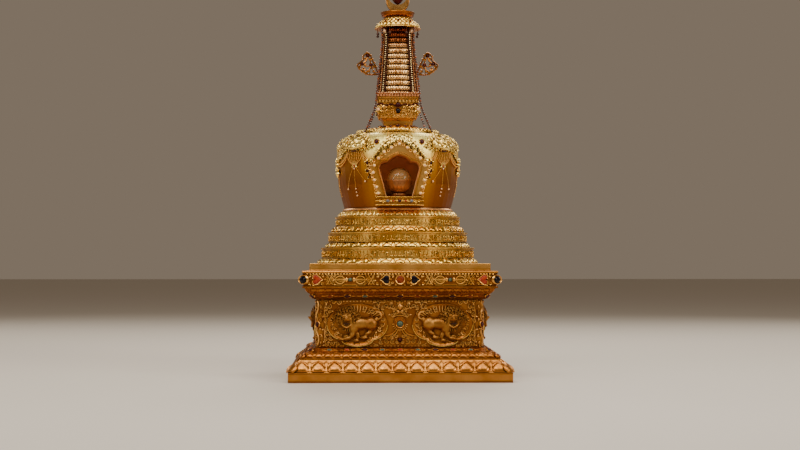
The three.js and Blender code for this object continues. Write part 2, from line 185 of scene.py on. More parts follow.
def moved(x=0.0, y=0.0, z=0.0, turn=0.0, lean=0.0, scale=(1, 1, 1)):
    """A place on paper: x right, y up, z out; lean tips it back and turn spins it, in degrees."""
    return (Matrix.Translation((x, y, z)) @ Matrix.Rotation(math.radians(-lean), 4, "X")
            @ Matrix.Rotation(math.radians(turn), 4, "Z") @ Matrix.Diagonal((*scale, 1)))


def spot(angle, reach=0.0, height=0.0, lean=0.0, spin=0.0):
    """Sets paper against the object: angle round the axis, reach from it, lean tips the paper's face up."""
    a = math.radians(angle)
    out = Vector((math.sin(a), -math.cos(a), 0))
    right = (math.cos(a), math.sin(a), 0)
    basis = Matrix((right, (0, 0, 1), out)).transposed().to_4x4()
    return Matrix.Translation(out * reach + Vector((0, 0, height))) @ basis @ moved(turn=spin, lean=lean)


def stand(*args, **kwargs):
    """As spot, for a unit of a Work, whose paper is later turned round the axis."""
    return FRONT @ spot(*args, **kwargs)


def bent(angle, radius, height, slope=0.0):
    """Wraps paper round the axis on a drum of a radius that shrinks by slope for each mm up."""
    def place(p):
        a = math.radians(angle) + p[:, 0] / radius
        r = radius - slope * p[:, 1] + p[:, 2]
        return np.column_stack([r * np.sin(a), -r * np.cos(a), height + p[:, 1]])
    return place


def placed(unit, *places):
    """Puts a unit through each place in turn: a matrix, or a function that bends paper."""
    points, sizes, corners = unit
    for place in places:
        if callable(place):
            points = place(points)
            continue
        m = np.array(place)
        points = points @ m[:3, :3].T + m[:3, 3]
        if np.linalg.det(m[:3, :3]) < 0:
            sizes, corners = sizes[::-1], corners[::-1]
    return points, sizes, corners


def joined(units):
    points, sizes, corners = zip(*units)
    starts = np.cumsum([0] + [len(p) for p in points[:-1]])
    corners = np.concatenate([c + s for c, s in zip(corners, starts)])
    return np.concatenate(points), np.concatenate(sizes), corners


def pair(unit):
    """A unit and its mirror image."""
    return joined([unit, placed(unit, MIRROR)])


FRONT = spot(0).inverted()
MIRROR = Matrix.Diagonal((-1, 1, 1, 1))


def piece(name, units, kind, replaces=()):
    """Makes one object of the unit meshes, in place, riding on the CAD body."""
    points, sizes, corners = joined(units)
    material, usual_slot = LOOKS[kind]
    mesh = bpy.data.meshes.new(name)
    mesh.vertices.add(len(points))
    mesh.loops.add(len(corners))
    mesh.polygons.add(len(sizes))
    mesh.vertices.foreach_set("co", (points * MM).astype(np.float32).ravel())
    mesh.polygons.foreach_set("loop_start", (np.cumsum(sizes) - sizes).astype(np.int32))
    mesh.polygons.foreach_set("vertices", corners.astype(np.int32))
    mesh.update(calc_edges=True)
    mesh.validate()
    mesh.polygons.foreach_set("use_smooth", np.ones(len(mesh.polygons), bool))
    mesh.set_sharp_from_angle(angle=SHARP_ANGLE)
    mesh.materials.append(material)
    obj = bpy.data.objects.new(name, mesh)
    bpy.context.scene.collection.objects.link(obj)
    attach(obj, "root")
    if replaces:
        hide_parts(*replaces)


# Materials, each kept in LOOKS with the record's slot

LOOKS = {}
# Painted shade: the colour that hollows and places under parts darken toward, by ambient occlusion
HOLLOW_SHADE = (0.14, 0.04, 0.01)


def feed(tree, made, sockets):
    """Sets each input of a node to a value, or links it to another node's output."""
    for name, value in sockets.items():
        if isinstance(value, bpy.types.NodeSocket):
            tree.links.new(value, made.inputs[name])
        else:
            made.inputs[name].default_value = value


def node(tree, kind, sockets, **settings):
    made = tree.nodes.new("ShaderNode" + kind)
    for name, value in settings.items():
        setattr(made, name, value)
    feed(tree, made, sockets)
    return made


def new_material(name, sockets):
    """A new material, and its shader with these inputs."""
    material = bpy.data.materials.new(name)
    material.use_nodes = True
    shader = next(n for n in material.node_tree.nodes if n.type == "BSDF_PRINCIPLED")
    feed(material.node_tree, shader, sockets)
    return material, shader


def new_look(kind, name, slot, sockets):
    """A material kept in LOOKS: its node tree, its shader and the place that its textures follow."""
    material, shader = new_material(name, sockets)
    LOOKS[kind] = material, slot
    tree = material.node_tree
    return tree, shader, node(tree, "TexCoord", {}).outputs["Object"]


def noise(tree, where, scale, detail):
    return node(tree, "TexNoise", {"Vector": where, "Scale": scale, "Detail": detail}).outputs["Fac"]


def ramp(tree, value, stops):
    made = tree.nodes.new("ShaderNodeValToRGB")
    band = made.color_ramp
    while len(band.elements) < len(stops):
        band.elements.new(0.5)
    for element, (at, colour) in zip(band.elements, stops):
        element.position = at
        element.color = (*colour, 1)
    feed(tree, made, {"Fac": value})
    return made.outputs["Color"]


def mapped(tree, value, limits):
    """A value from one range to another, by the sockets in limits."""
    return node(tree, "MapRange", {"Value": value, **limits}).outputs["Result"]


def times(tree, colour, factor):
    """One colour multiplied by another."""
    sockets = {"Factor": 1.0, "A": colour, "B": factor}
    return node(tree, "Mix", sockets, data_type="RGBA", blend_type="MULTIPLY").outputs["Result"]


def painted_light_by_side(tree, parts, stops):
    """Painted light and shade by the angle round the axis: a colour ramp from 0 at the front and back to 1 at
    the left and right.
    """
    across, along = (node(tree, "Math", {0: parts[axis]}, operation="ABSOLUTE").outputs[0] for axis in "XY")
    angle = node(tree, "Math", {0: across, 1: along}, operation="ARCTAN2").outputs[0]
    return ramp(tree, mapped(tree, angle, {"From Max": math.pi / 2}), stops)


def gilt(kind, bright, deep, hollow_shade=HOLLOW_SHADE, rough=0.3, slot="gilt_throne", name=None, reach=13.0, grain=60,
         bump=0.25, painted_light_by_height=None, sides=None, open_at=0.92, metal=1.0):
    """Gilding: bright and deep tones in drifts, painted shade darkening the hollows, softly hammered."""
    tree, shader, where = new_look(kind, name or f"gilt_{kind}", slot, {"Metallic": metal})
    colour = ramp(tree, noise(tree, where, grain / 4, 3.0), [(0.35, deep), (0.65, bright)])
    parts = node(tree, "SeparateXYZ", {"Vector": where}).outputs
    # Painted light and shade by height: the colour is multiplied by a ramp over the height
    if painted_light_by_height:
        low, high, stops = painted_light_by_height
        height = mapped(tree, parts["Z"], {"From Min": low, "From Max": high})
        colour = times(tree, colour, ramp(tree, height, stops))
    # Painted light and shade by the angle round the axis
    if sides:
        colour = times(tree, colour, painted_light_by_side(tree, parts, sides))
    # Painted shade in the hollows: the colour darkens where ambient occlusion finds a recess
    if hollow_shade:
        shade = node(tree, "AmbientOcclusion", {"Distance": reach * MM}, samples=6).outputs["AO"]
        colour = times(tree, colour, ramp(tree, shade, [(0.3, hollow_shade), (open_at, (1, 1, 1))]))
    fine = noise(tree, where, grain * 4, 2.0)
    gloss = mapped(tree, fine, {"To Min": rough - 0.07, "To Max": rough + 0.1})
    relief = node(tree, "Bump", {"Strength": bump, "Distance": 0.6 * MM, "Height": fine}).outputs["Normal"]
    feed(tree, shader, {"Base Color": colour, "Roughness": gloss, "Normal": relief})


def stone(kind, colour, vein, rough, shine, coat, slot=None, name=None):
    """A polished stone or pearl with soft clouds in its colour."""
    finish = {"Specular IOR Level": shine, "Coat Weight": coat, "Coat Roughness": 0.04}
    tree, shader, where = new_look(kind, name or kind, slot or kind, finish)
    cloud = noise(tree, where, 120, 3.0)
    gloss = mapped(tree, cloud, {"To Min": rough, "To Max": rough + 0.12})
    feed(tree, shader, {"Base Color": ramp(tree, cloud, [(0.38, colour), (0.66, vein)]), "Roughness": gloss})


def clear(kind, colour):
    finish = {"Base Color": colour, "Transmission Weight": 0.75, "IOR": 1.3}
    tree, shader, where = new_look(kind, kind, kind, finish)
    cloud = noise(tree, where, 40.0, 2.0)
    feed(tree, shader, {"Roughness": mapped(tree, cloud, {"To Min": 0.03, "To Max": 0.09})})


# The throne's gildings (throne, shaded, field, carved) are darker copies of the relief gilding: painted shade
# for the throne, which lies in shade; shaded is the darkest, for parts in deep shade
gilt("throne", (0.62, 0.265, 0.055), (0.46, 0.17, 0.03))
gilt("shaded", (0.40, 0.15, 0.024), (0.28, 0.09, 0.012), rough=0.34)
gilt("chased", (0.86, 0.46, 0.11), (0.62, 0.28, 0.055))
gilt("field", (0.47, 0.18, 0.034), (0.31, 0.10, 0.016), rough=0.32, grain=90, bump=0.6)
gilt("carved", (0.74, 0.375, 0.10), (0.50, 0.205, 0.042))
gilt("lion", (0.42, 0.195, 0.045), (0.29, 0.115, 0.025), rough=0.42, grain=110, bump=0.6)
gilt("petal", (0.98, 0.72, 0.20), (0.87, 0.54, 0.11), (0.2, 0.07, 0.02), 0.26, "gilt_petal", open_at=0.8)
gilt("relief", (0.93, 0.58, 0.13), (0.71, 0.35, 0.05), slot="gilt_relief")
gilt("band", (0.94, 0.58, 0.13), (0.76, 0.40, 0.065), (0.15, 0.045, 0.008), slot="gilt_petal", open_at=0.86)
gilt("lobe", (0.98, 0.66, 0.14), (0.88, 0.52, 0.08), (0.12, 0.03, 0.006), 0.22, "gilt_petal", reach=9.0,
     bump=0.12)
gilt("lobe_deep", (0.78, 0.42, 0.055), (0.60, 0.28, 0.028), (0.14, 0.04, 0.008), 0.2, "gilt_petal", reach=9.0,
     bump=0.12)
# A lighter copy of the lobe gilding for the petals under the sill: painted light that lifts the sill's shadow
gilt("lobe_lit", (1.0, 0.70, 0.18), (0.94, 0.58, 0.11), (0.25, 0.08, 0.015), 0.26, "gilt_petal", reach=6.0,
     bump=0.12, metal=0.8)
gilt("festoon", (0.98, 0.55, 0.13), (0.88, 0.43, 0.085), None, slot="gilt_petal", metal=0.5)
gilt("string", (0.97, 0.74, 0.36), (0.88, 0.58, 0.24), None, 0.32, "gilt_petal")
gilt("moon", (0.66, 0.37, 0.11), (0.40, 0.18, 0.045), rough=0.26, slot="gilt_petal", grain=110, bump=0.5)
gilt("frame", (0.99, 0.57, 0.15), (0.82, 0.38, 0.08), slot="gilt_petal")
gilt("mask", (1.0, 0.78, 0.24), (0.90, 0.57, 0.12), (0.10, 0.026, 0.005), 0.24, "gilt_petal", reach=12.0,
     open_at=0.97)
gilt("rose", (0.90, 0.53, 0.24), (0.68, 0.32, 0.12), (0.10, 0.02, 0.012), slot="gilt_spire")
gilt("relic", (0.40, 0.17, 0.045), (0.26, 0.095, 0.022), slot="gilt_relief", metal=0.55)
gilt("red", (0.40, 0.105, 0.012), (0.28, 0.065, 0.008), None, slot="red_gilt", name="red_gilt")
gilt("link", (0.2, 0.055, 0.016), (0.11, 0.025, 0.01), None, 0.4, "chain", "dark_gilt")
# The brim's underside carries painted shade at the front and back, going to its own gold toward the left and
# right
gilt("brim", (0.62, 0.22, 0.014), (0.46, 0.15, 0.009), None, 0.34, "gilt_relief", metal=0.9,
     sides=[(0.4, (0.2, 0.05, 0.03)), (0.72, (1, 1, 1))])
# The dome's colour carries painted light: a painted highlight on the shoulder and painted shade lower down,
# by height; a painted highlight at the front and back and painted shade toward the masks and sides, by angle;
# painted shade in the hollows
gilt("dome", (0.98, 0.82, 0.25), (0.92, 0.73, 0.19), (0.3, 0.15, 0.06), 0.4, "gilt_dome", reach=55.0,
     bump=0.1, grain=30, open_at=0.7,
     painted_light_by_height=(0.62, 0.885, [(0.0, (0.33, 0.14, 0.03)), (0.35, (0.44, 0.21, 0.05)), (0.62, (0.66, 0.42, 0.18)),
                            (0.8, (1, 1, 1))]),
     sides=[(0.31, (1, 1, 1)), (0.42, (0.74, 0.55, 0.34)), (0.62, (0.7, 0.5, 0.28)),
            (0.85, (0.8, 0.62, 0.36))])
# The spire's colour carries painted shade: the umbrella's shadow on the top rings, by height, and painted
# shade on the rings' flanks between the front and the sides, by angle
gilt("spire", (0.94, 0.58, 0.25), (0.74, 0.40, 0.14), (0.06, 0.012, 0.005), 0.26, "gilt_spire", reach=7.0,
     open_at=1.0,
     painted_light_by_height=(1.10, 1.30, [(0.56, (1, 1, 1)), (0.72, (0.46, 0.26, 0.19)), (0.82, (0.33, 0.13, 0.1)),
                           (1.0, (0.42, 0.12, 0.09))]),
     sides=[(0.43, (1, 1, 1)), (0.5, (0.2, 0.11, 0.09)), (0.7, (0.24, 0.13, 0.1)), (0.88, (0.85, 0.78, 0.7))])
# The niche lining darkens toward its top: painted shade under the arch
gilt("lining", (0.98, 0.55, 0.22), (0.84, 0.42, 0.14), None, 0.5, "gilt_dome", metal=0.1,
     painted_light_by_height=(0.69, 0.79, [(0.0, (1, 1, 1)), (1.0, (0.62, 0.36, 0.2))]))
stone("garnet", (0.03, 0.004, 0.005), (0.06, 0.006, 0.008), 0.12, 0.16, 0.05)
stone("coral", (0.26, 0.022, 0.006), (0.38, 0.045, 0.012), 0.24, 0.18, 0.06)
# A darker copy of the coral: painted shade on the stones of the cornice and the frieze's middle stone
stone("amber", (0.14, 0.016, 0.002), (0.24, 0.04, 0.005), 0.24, 0.15, 0.05, "coral")
stone("turquoise", (0.035, 0.055, 0.033), (0.08, 0.115, 0.068), 0.25, 0.3, 0.15)
stone("sapphire", (0.004, 0.002, 0.004), (0.008, 0.004, 0.008), 0.12, 0.14, 0.04)
stone("grey", (0.09, 0.09, 0.10), (0.17, 0.165, 0.17), 0.25, 0.35, 0.2, "sapphire", "grey_stone")
stone("pearl", (0.84, 0.46, 0.23), (0.92, 0.57, 0.31), 0.2, 0.45, 0.2)
stone("dark", (0.045, 0.013, 0.007), (0.085, 0.027, 0.014), 0.3, 0.22, 0.0, "chain", "dark_bead")
stone("umber", (0.32, 0.095, 0.022), (0.52, 0.2, 0.055), 0.36, 0.4, 0.0, "chain", "umber_bead")
clear("crystal", (0.76, 0.42, 0.14, 1))

NODE_LOOKS = {
    # The look of each CAD node, by the longest start of its name
    "": "relief", "foot": "throne", "lower_lotus": "field", "lower_gem": "shaded", "throne": "throne",
    "throne_top": "chased", "cornice": "shaded", "frieze": "field", "lotus_ring_1": "petal",
    "lotus_ring_2": "petal", "dome": "dome", "dome_seat": "rose", "dome_plate": "petal",
    "niche_frame": "frame", "niche_sill": "throne", "relic": "relic", "crystal": "crystal",
    "harmika": "chased", "harmika_neck": "carved", "spire": "spire", "upper_bowl": "red",
    "crescent": "moon", "flame": "garnet", "chain": "dark",
}
for name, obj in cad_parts.items():
    start = max((s for s in NODE_LOOKS if name.startswith(s)), key=len)
    obj.data.materials.clear()
    obj.data.materials.append(LOOKS[NODE_LOOKS[start]][0])


# Ornament drawn on paper and repeated round the axis

class Work:
    """Ornament, one piece for each look: on paper with angles round the axis, in place already without."""

    def __init__(self, name, angles=SIDES, cup="throne"):
        self.name = name
        self.turns = [spot(a) for a in angles] or [moved()]
        self.cup = cup
        self.units = {}

    def add(self, kind, unit, *places):
        self.units.setdefault(kind, []).append(placed(unit, *places))

    def both(self, kind, unit, *places):
        """Adds a unit and its mirror image."""
        self.add(kind, pair(placed(unit, *places)))

    def gem(self, kind, place, shape, b=None, height=None, rim=0.28, both=False, cup=None):
        """A polished stone in a raised cup; shape is an outline or half an oval's width."""
        outline = shape if np.ndim(shape) else oval(shape, b)
        height = height or shape * 0.55
        wide = 1 + rim
        levels = [(wide + 0.12, -1.5), (wide, height * 0.35), (wide - 0.1, height * 0.5),
                  (1, height * 0.3), (0.9, 0)]
        add = self.both if both else self.add
        add(cup or self.cup, stepped(outline, levels, (0, 0)), place)
        add(kind, domed(outline, height, 4, 0.5, (0, 0)), place)

    def finish(self, replaces=()):
        for kind, units in self.units.items():
            once = joined(units)
            piece(f"{self.name}_{kind}", [placed(once, turn) for turn in self.turns], kind, replaces)
            replaces = ()


def stroke(points, thick, count=10, sides=5, tail=0.45):
    """A rounded line on paper, thinner toward both ends."""
    path = smooth(points, count)
    path[:, 2] += thick * 0.5
    t = np.linspace(0, 1, count)
    return tube(path, thick * (tail + (1 - tail) * np.sin(math.pi * t) ** 0.7), sides)


def volute(size, turns=1.3, thick=2.2, count=12):
    """A scroll that starts on the right and winds in to a knob."""
    t = np.linspace(0, 1, count)
    r = size * (1 - 0.82 * t ** 0.8)
    a = turns * FULL * t
    path = np.column_stack([r * np.cos(a), r * np.sin(a), thick * (0.5 + 0.5 * t)])
    knob = lathe([(0.9 * thick, 0.2 * thick), (0.9 * thick, 1.2 * thick), (0.35 * thick, 1.85 * thick)], 6)
    return joined([tube(path, thick * (1 - 0.5 * t), 4 if thick < 2.7 else 5), knob])


def scrolls(rows, z, turns, thick, count=12):
    """Scrolls on paper: each row is (x, y, size, turn), and z is one number or a function of x and y."""
    return joined([placed(volute(size, turns, thick, count), moved(x, y, z(x, y) if callable(z) else z, turn))
                   for x, y, size, turn in rows])


def with_leaves(rows, z, wide, tall, bulge, turn, out):
    """A leaf beside each scroll, in shares of its size."""
    return joined([placed(leaf(size * wide, size * tall, bulge),
                          moved(x, y, z, at + turn) @ moved(0, size * out)) for x, y, size, at in rows])


def petal(width, height, bulge):
    """A lotus petal with a raised edge round a swelling middle."""
    levels = [(1.0, -2.0), (1.0, bulge * 0.35), (0.93, bulge * 0.55), (0.84, bulge * 0.38),
              (0.66, bulge * 0.75), (0.42, bulge * 0.95), (0.18, bulge)]
    return stepped(petal_outline(width, height), levels, (0, height * 0.42))


def lobe(width, height, bulge):
    """A round swelling petal with a thin lip along its edge."""
    levels = [(1.0, -2.0), (1.0, 1.6), (0.93, 2.0), (0.88, bulge * 0.42), (0.74, bulge * 0.74),
              (0.52, bulge * 0.92), (0.28, bulge), (0.08, bulge)]
    return stepped(petal_outline(width, height), levels, (0, height * 0.5))


SMALL_LEAF = 20
TINY_LEAF = 13.5


def leaf(width, height, bulge):
    """A pointed leaf, with fewer faces where it is small."""
    count, steps = (6, 3) if height > SMALL_LEAF else (5, 2) if height > TINY_LEAF else (4, 2)
    return domed(leaf_outline(width, height, count), bulge, steps, 1.0, (0, height * 0.45))


def round_line(radius, z, thick, sides=5, count=108):
    return tube(np.column_stack([circle(count) * radius, np.full(count, z)]), thick, sides, True)


def standing(*rows):
    """Units round the axis: rows of (unit, radius, height, count, inward lean, first share of a pitch)."""
    return [placed(unit, spot((k + first) * 360 / count, radius, z, lean))
            for unit, radius, z, count, lean, first in rows for k in range(count)]


def spread(count, pitch):
    """Places along a line, centred on zero."""
    return [(i - (count - 1) / 2) * pitch for i in range(count)]


# Throne: petals, gem bands and mouldings

def slope(low, high):
    """The lean of a face between two (half width, height) pairs."""
    return math.degrees(math.atan2(low[0] - high[0], high[1] - low[1]))


def petal_row(name, rows, turn=0):
    """Rows of petals on the four sides: each is (kind, unit, pitch, count, reach, height, lean, step out)."""
    work = Work(name)
    for kind, unit, pitch, count, reach, z, lean, step in rows:
        for x in spread(count, pitch):
            work.add(kind, unit, moved(x, z, reach, turn, lean) @ moved(z=step))
    work.finish()


def corner_petal(name, kind, unit, place):
    """One petal on each corner of the throne."""
    work = Work(name, DIAGONALS)
    work.add(kind, unit, place)
    work.finish()


def gem_band(name, kinds, pitch, reach, z, lean):
    """Stones along each side, all between two leaves, and one on each corner."""
    work = Work(name)
    corners = Work(name + "_corner", DIAGONALS)
    kinds = kinds.split()
    for kind, x in zip(kinds, spread(len(kinds), pitch)):
        place = moved(x, z, reach, lean=lean)
        wide = 11 if kind == "garnet" else 9.5
        work.gem(kind, place, wide, wide * 0.62, wide * 0.5)
        for side in (-1, 1):
            work.add("throne", leaf(7, 20, 2.2), place @ moved(20 * side, 0, 0, -90 * side) @ moved(0, -10))
    corners.gem("garnet", moved(0, z, (reach - 1) * CORNER, lean=lean * 0.8), 10, 7, 6)
    work.finish()
    corners.finish()


def squares(rows, sides):
    """Square lines round the throne: each row is (half width, height, thickness)."""
    corners = ((1, 1), (-1, 1), (-1, -1), (1, -1))
    return [tube([(half * x, half * y, z) for x, y in corners], thick, sides, True)
            for half, z, thick in rows]


SQUARE_LINES = table("""319.6 391 1.3, 319.4 412 1.3, 343.8 331 1.4, 343.8 386 1.4, 304.5 290.4 1.6,
    350.5 80.5 1.8, 391.5 31 1.8, 391.5 5 1.8""")
FOOT_LEAN = slope((388, 35), (354, 77))
LOWER_LEAN = slope((349, 84), (330, 103))
COVE_LEAN = slope((322, 309), (336, 329))
petal_row("foot_petals", (("throne", petal(54, 50, 8), 57.5, 13, 389, 36, FOOT_LEAN, 0),
                          ("throne", petal(42, 50, 4), 57.5, 12, 386, 38, FOOT_LEAN, -1)))
corner_petal("foot_corner_petals", "throne", petal(46, 52, 8), moved(0, 36, 387 * CORNER, lean=49))
# The lower band's petals take the darker field gilding: painted shade
petal_row("lower_band_petals", (("field", petal(30, 25, 5.5), 31.7, 21, 349.5, 84.5, LOWER_LEAN, 0),
                                ("field", leaf(24, 25, 4), 31.7, 20, 347.5, 85.5, LOWER_LEAN, 0)))
corner_petal("lower_band_corner_petals", "field", petal(26, 26, 5), moved(0, 84.5, 348 * CORNER, lean=52))
gem_band("lower_band_gems", "turquoise coral garnet turquoise coral turquoise garnet coral turquoise",
         62.5, 316, 109.5, slope((328, 103.3), (303, 117)))
gem_band("cornice_gems", "amber garnet turquoise amber garnet amber turquoise garnet amber",
         62, 311, 299.5, slope((303, 292), (318, 307)))
# The cove's petals take the darker field and shaded gildings: painted shade under the frieze
petal_row("cornice_cove_petals", (("field", petal(25, 22, 6), 26.4, 24, 334, 329, COVE_LEAN, 0),
                                  ("shaded", leaf(18, 22, 5), 26.4, 23, 332, 328, COVE_LEAN, 0)), 180)
# The square lines take the darker shaded gilding: painted shade that damps their highlights
piece("square_lines", squares(SQUARE_LINES, 4), "shaded")
piece("frieze_ledge", squares(table("342.6 385.6 3.4, 319.6 390.5 2.4"), 6), "throne")


# Throne: frieze of sceptres, hearts and gems

FRIEZE_Z = 358
FRIEZE_REACH = 339
HEART_X = 51
BRAIDS = (103, 249)
SCEPTRE_X = 176
CORAL_X = 294
HEXAGON = [(-66, 0), (-52, 19), (52, 19), (66, 0), (52, -19), (-52, -19)]
FRIEZE_SCROLLS = table("""33 0 4 0, 322 0 5 0, 66 16 4 80, 66 -17 4 280, 90 0 5 200, 116 0 5 20,
    236 0 5 160, 262 0 5 340""")
FRIEZE_PAIRS = table("""27 12 6 40, 80 13 6 120, 273 13 6 60, 319 13 6 120, 14 17 4 80, 122 15 4 30,
    231 15 4 150, 38 17 4 130, 150 20 3.5 60, 200 20 3.5 120, 285 18 4 40, 307 17 4 140""")


def sceptre():
    """A horizontal thunderbolt sceptre, without its centre stone."""
    half = [stroke([(14, 0), (26, 0), (56, 0)], 2.8, 6, 5, 0.6)]
    for up in (1, -1):
        prong = [(18, 0), (24, up * 9), (34, up * 13.5), (46, up * 10), (53, up * 2)]
        half.append(stroke(prong, 2.9, 12, 5, 0.6))
        half.append(stroke([(20, 0), (27, up * 5), (36, up * 6), (46, up * 3)], 1.6, 7))
    half.append(placed(domed(oval(5.5, 8.5), 4.5), moved(13)))
    half.append(placed(domed(oval(3, 5.5), 3.5), moved(20)))
    half.append(placed(ball(2.8, 6, 4), moved(57, 0, 1)))
    return pair(joined(half))


def braid():
    """Crossed bands with loops above and below."""
    parts = []
    for hand in (1, -1):
        band = [(-11 * hand, 18), (-3 * hand, 6), (3 * hand, -6), (11 * hand, -18)]
        parts.append(stroke(band, 2.8, 9, 5, 0.8))
        parts.append(stroke([(12 * hand, 11), (6 * hand, 2), (12 * hand, -11)], 2.2, 8))
        parts += [placed(ball(2.4, 6, 4), moved(hand * 7, y, 1)) for y in (12, -12)]
    for y in (10, -10):
        parts.append(placed(round_line(5.5, 0.8, 2.1, 5, 10), moved(0, y)))
    return joined(parts)


def frieze():
    """The row of stones, sceptres, braids and beads, mirrored about its middle stone."""
    work = Work("frieze", cup="chased")
    level = moved(0, FRIEZE_Z, FRIEZE_REACH)
    work.gem("amber", level, 13.5, height=6, rim=0.3)
    work.gem("sapphire", level @ moved(HEART_X), heart(15.5), height=5, rim=0.34, both=True)
    work.both("chased", sceptre(), level @ moved(SCEPTRE_X, 0, 1))
    work.gem("turquoise", level @ moved(SCEPTRE_X), 7, height=5.5, both=True, cup="throne")
    for wide, tall, thick, sides in ((1, 1, 2.6, 6), (0.92, 0.85, 1.3, 4)):
        frame_line = [(x * wide, y * tall, 0) for x, y in HEXAGON]
        work.both("chased", tube(frame_line, thick, sides, True), level @ moved(SCEPTRE_X))
    work.gem("coral", level @ moved(CORAL_X, turn=180), heart(17), height=5, rim=0.34, both=True)
    for x in BRAIDS:
        work.both("chased", braid(), level @ moved(x))
    rows = [(x, up * y, size, up * turn) for x, y, size, turn in FRIEZE_PAIRS for up in (1, -1)]
    work.both("chased", scrolls(FRIEZE_SCROLLS + rows, 0, 1.2, 2.6, 11), level)
    for i in range(31):
        work.both("chased", ball(3.6, 6, 4), level @ moved(5.5 + i * 10.7, 19.5, 2.5))
    work.finish()
    corners = Work("frieze_corner", DIAGONALS, "chased")
    corners.gem("sapphire", moved(0, FRIEZE_Z, 341 * CORNER), 18.5, 12.5, 8, 0.3)
    corners.finish()


frieze()


# Throne panels: palmette, scrolls and corner scrolls

PANEL = 295.3
CARTOUCHE = moved(151, 197, PANEL + 6)
PANEL_SCROLLS = table("""27 263 10 200, 48 263 9 330, 78 272 9 20, 33 280 7 40, 59 280 7 100, 6 277 6 60,
    13 257 7 250, 10 239 6 300, 27 233 8 120, 92 280 6 60, 62 256 6 200, 22 247 5 40, 250 262 9 100,
    263 252 7 60, 235 279 7 160, 216 277 9 140, 262 232 8 90, 246 245 7 300, 262 278 7 20, 262 213 8 270,
    263 181 8 120, 258 164 9 300, 264 146 8 60, 246 150 8 200, 240 132 9 140, 222 130 8 40, 260 128 8 100,
    206 124 6 140, 10 137 6 200, 27 139 9 220, 48 140 9 180, 68 136 8 200, 14 158 7 140, 30 152 6 40,
    86 126 6 160, 56 152 5 60""")
LEAF_SPRAYS = ("10 184, 22 171, 34 163, 57 159", "8 180, 14 168, 28 156, 42 150",
               "264 272, 268 235, 262 200, 267 165, 263 130")
PALM_LEAVES = table("20 34 8 246 0, 12 26 6 236 -38, 12 26 6 236 38, 14 24 5 274 180")
CORNER_REACH = 289 * CORNER
CORNER_SCROLLS = table("""7 184 7 60, 7 216 7 300, 9 240 8 30, 8 264 8 200, 6 281 6 60, 9 158 8 330,
    8 136 8 120, 6 121 6 60""")


def palmette(panel):
    """The middle of a panel: a stone among leaves and rays, with scrolls, sprays and a leafy edge."""
    panel.both("carved", scrolls(PANEL_SCROLLS, PANEL + 1, 1.35, 3.1, 11))
    panel.both("carved", with_leaves(PANEL_SCROLLS, PANEL, 0.9, 1.6, 4.5, 150, 0.5))
    for width, height, bulge, y, turn in PALM_LEAVES:
        panel.add("carved", leaf(width, height, bulge), moved(0, y, PANEL, turn))
    panel.add("carved", stroke(table("-29 222, -14 230, 0 232, 14 230, 29 222"), 2.6, 14), moved(z=PANEL + 1))
    panel.gem("turquoise", moved(0, 201, PANEL + 8), 11.5, height=7, rim=0.36)
    for k in range(-5, 6):
        ray = moved(0, 203, PANEL, 180 + k * 16)
        panel.add("carved", leaf(8, 12, 4), ray @ moved(0, 16, 3))
        panel.add("carved", ball(2.6, 6, 4), ray @ moved(0, 27, 5))
    for spray in LEAF_SPRAYS:
        panel.both("carved", stroke(table(spray), 3.4, 14), moved(z=PANEL + 0.5))
    panel.gem("garnet", moved(0, 144, PANEL), 6, 7.5, 5)
    for i in range(22):
        panel.both("carved", leaf(9, 9, 3.5), moved(6 + i * 12.1, 286, PANEL, 180))
        panel.both("carved", leaf(9, 8, 3.5), moved(6 + i * 12.1, 118.5, PANEL))


def corner_scrolls():
    """Two stalks, scrolls and a stone on each corner between the panels."""
    work = Work("corner_scrolls", DIAGONALS)
    for line in ("0 122, 5 150, -4 175, 0 190", "0 212, -5 235, 4 258, 0 284"):
        work.add("carved", stroke(table(line), 4, 16), moved(z=CORNER_REACH))
    work.both("carved", scrolls(CORNER_SCROLLS, CORNER_REACH - 4, 1.3, 3.0))
    work.gem("garnet", moved(0, 199, CORNER_REACH + 4), 8, 10, 6, 0.35)
    work.finish()


# Throne panels: lions in sunken cartouches

LION = table("""-48 5 3 25 25 20 0, -12 5 3 34 22 17 -3, 14 -6 1 24 26 14 0, 35 24 6 27 22 14 0,
    38 20 19 13 7 9 0, 39 24 27 6 4 5 0, 28 34 18 9 5 6 15, 49 33 17 7 4.5 5 -15, 20 8 11 5 10 8 14,
    27 -3 13 8 5 8 -40, 38 -8 14 9 5 8 0, 49 -3 13 8 5 8 40, 56 8 11 5 10 8 -14, -39 -28 2 15 7.5 10 -25,
    -24 -44 3 14 6.5 9 0, 18 -32 2 10 16 10 10, 35 -47 3 15 7 9 -12, 57 -50 5 11 6.5 9 5,
    -2 -38 0 7 14 7 0, 5 -55 1 12 5.5 6 0, -70 22 1 9 8 9 40""")
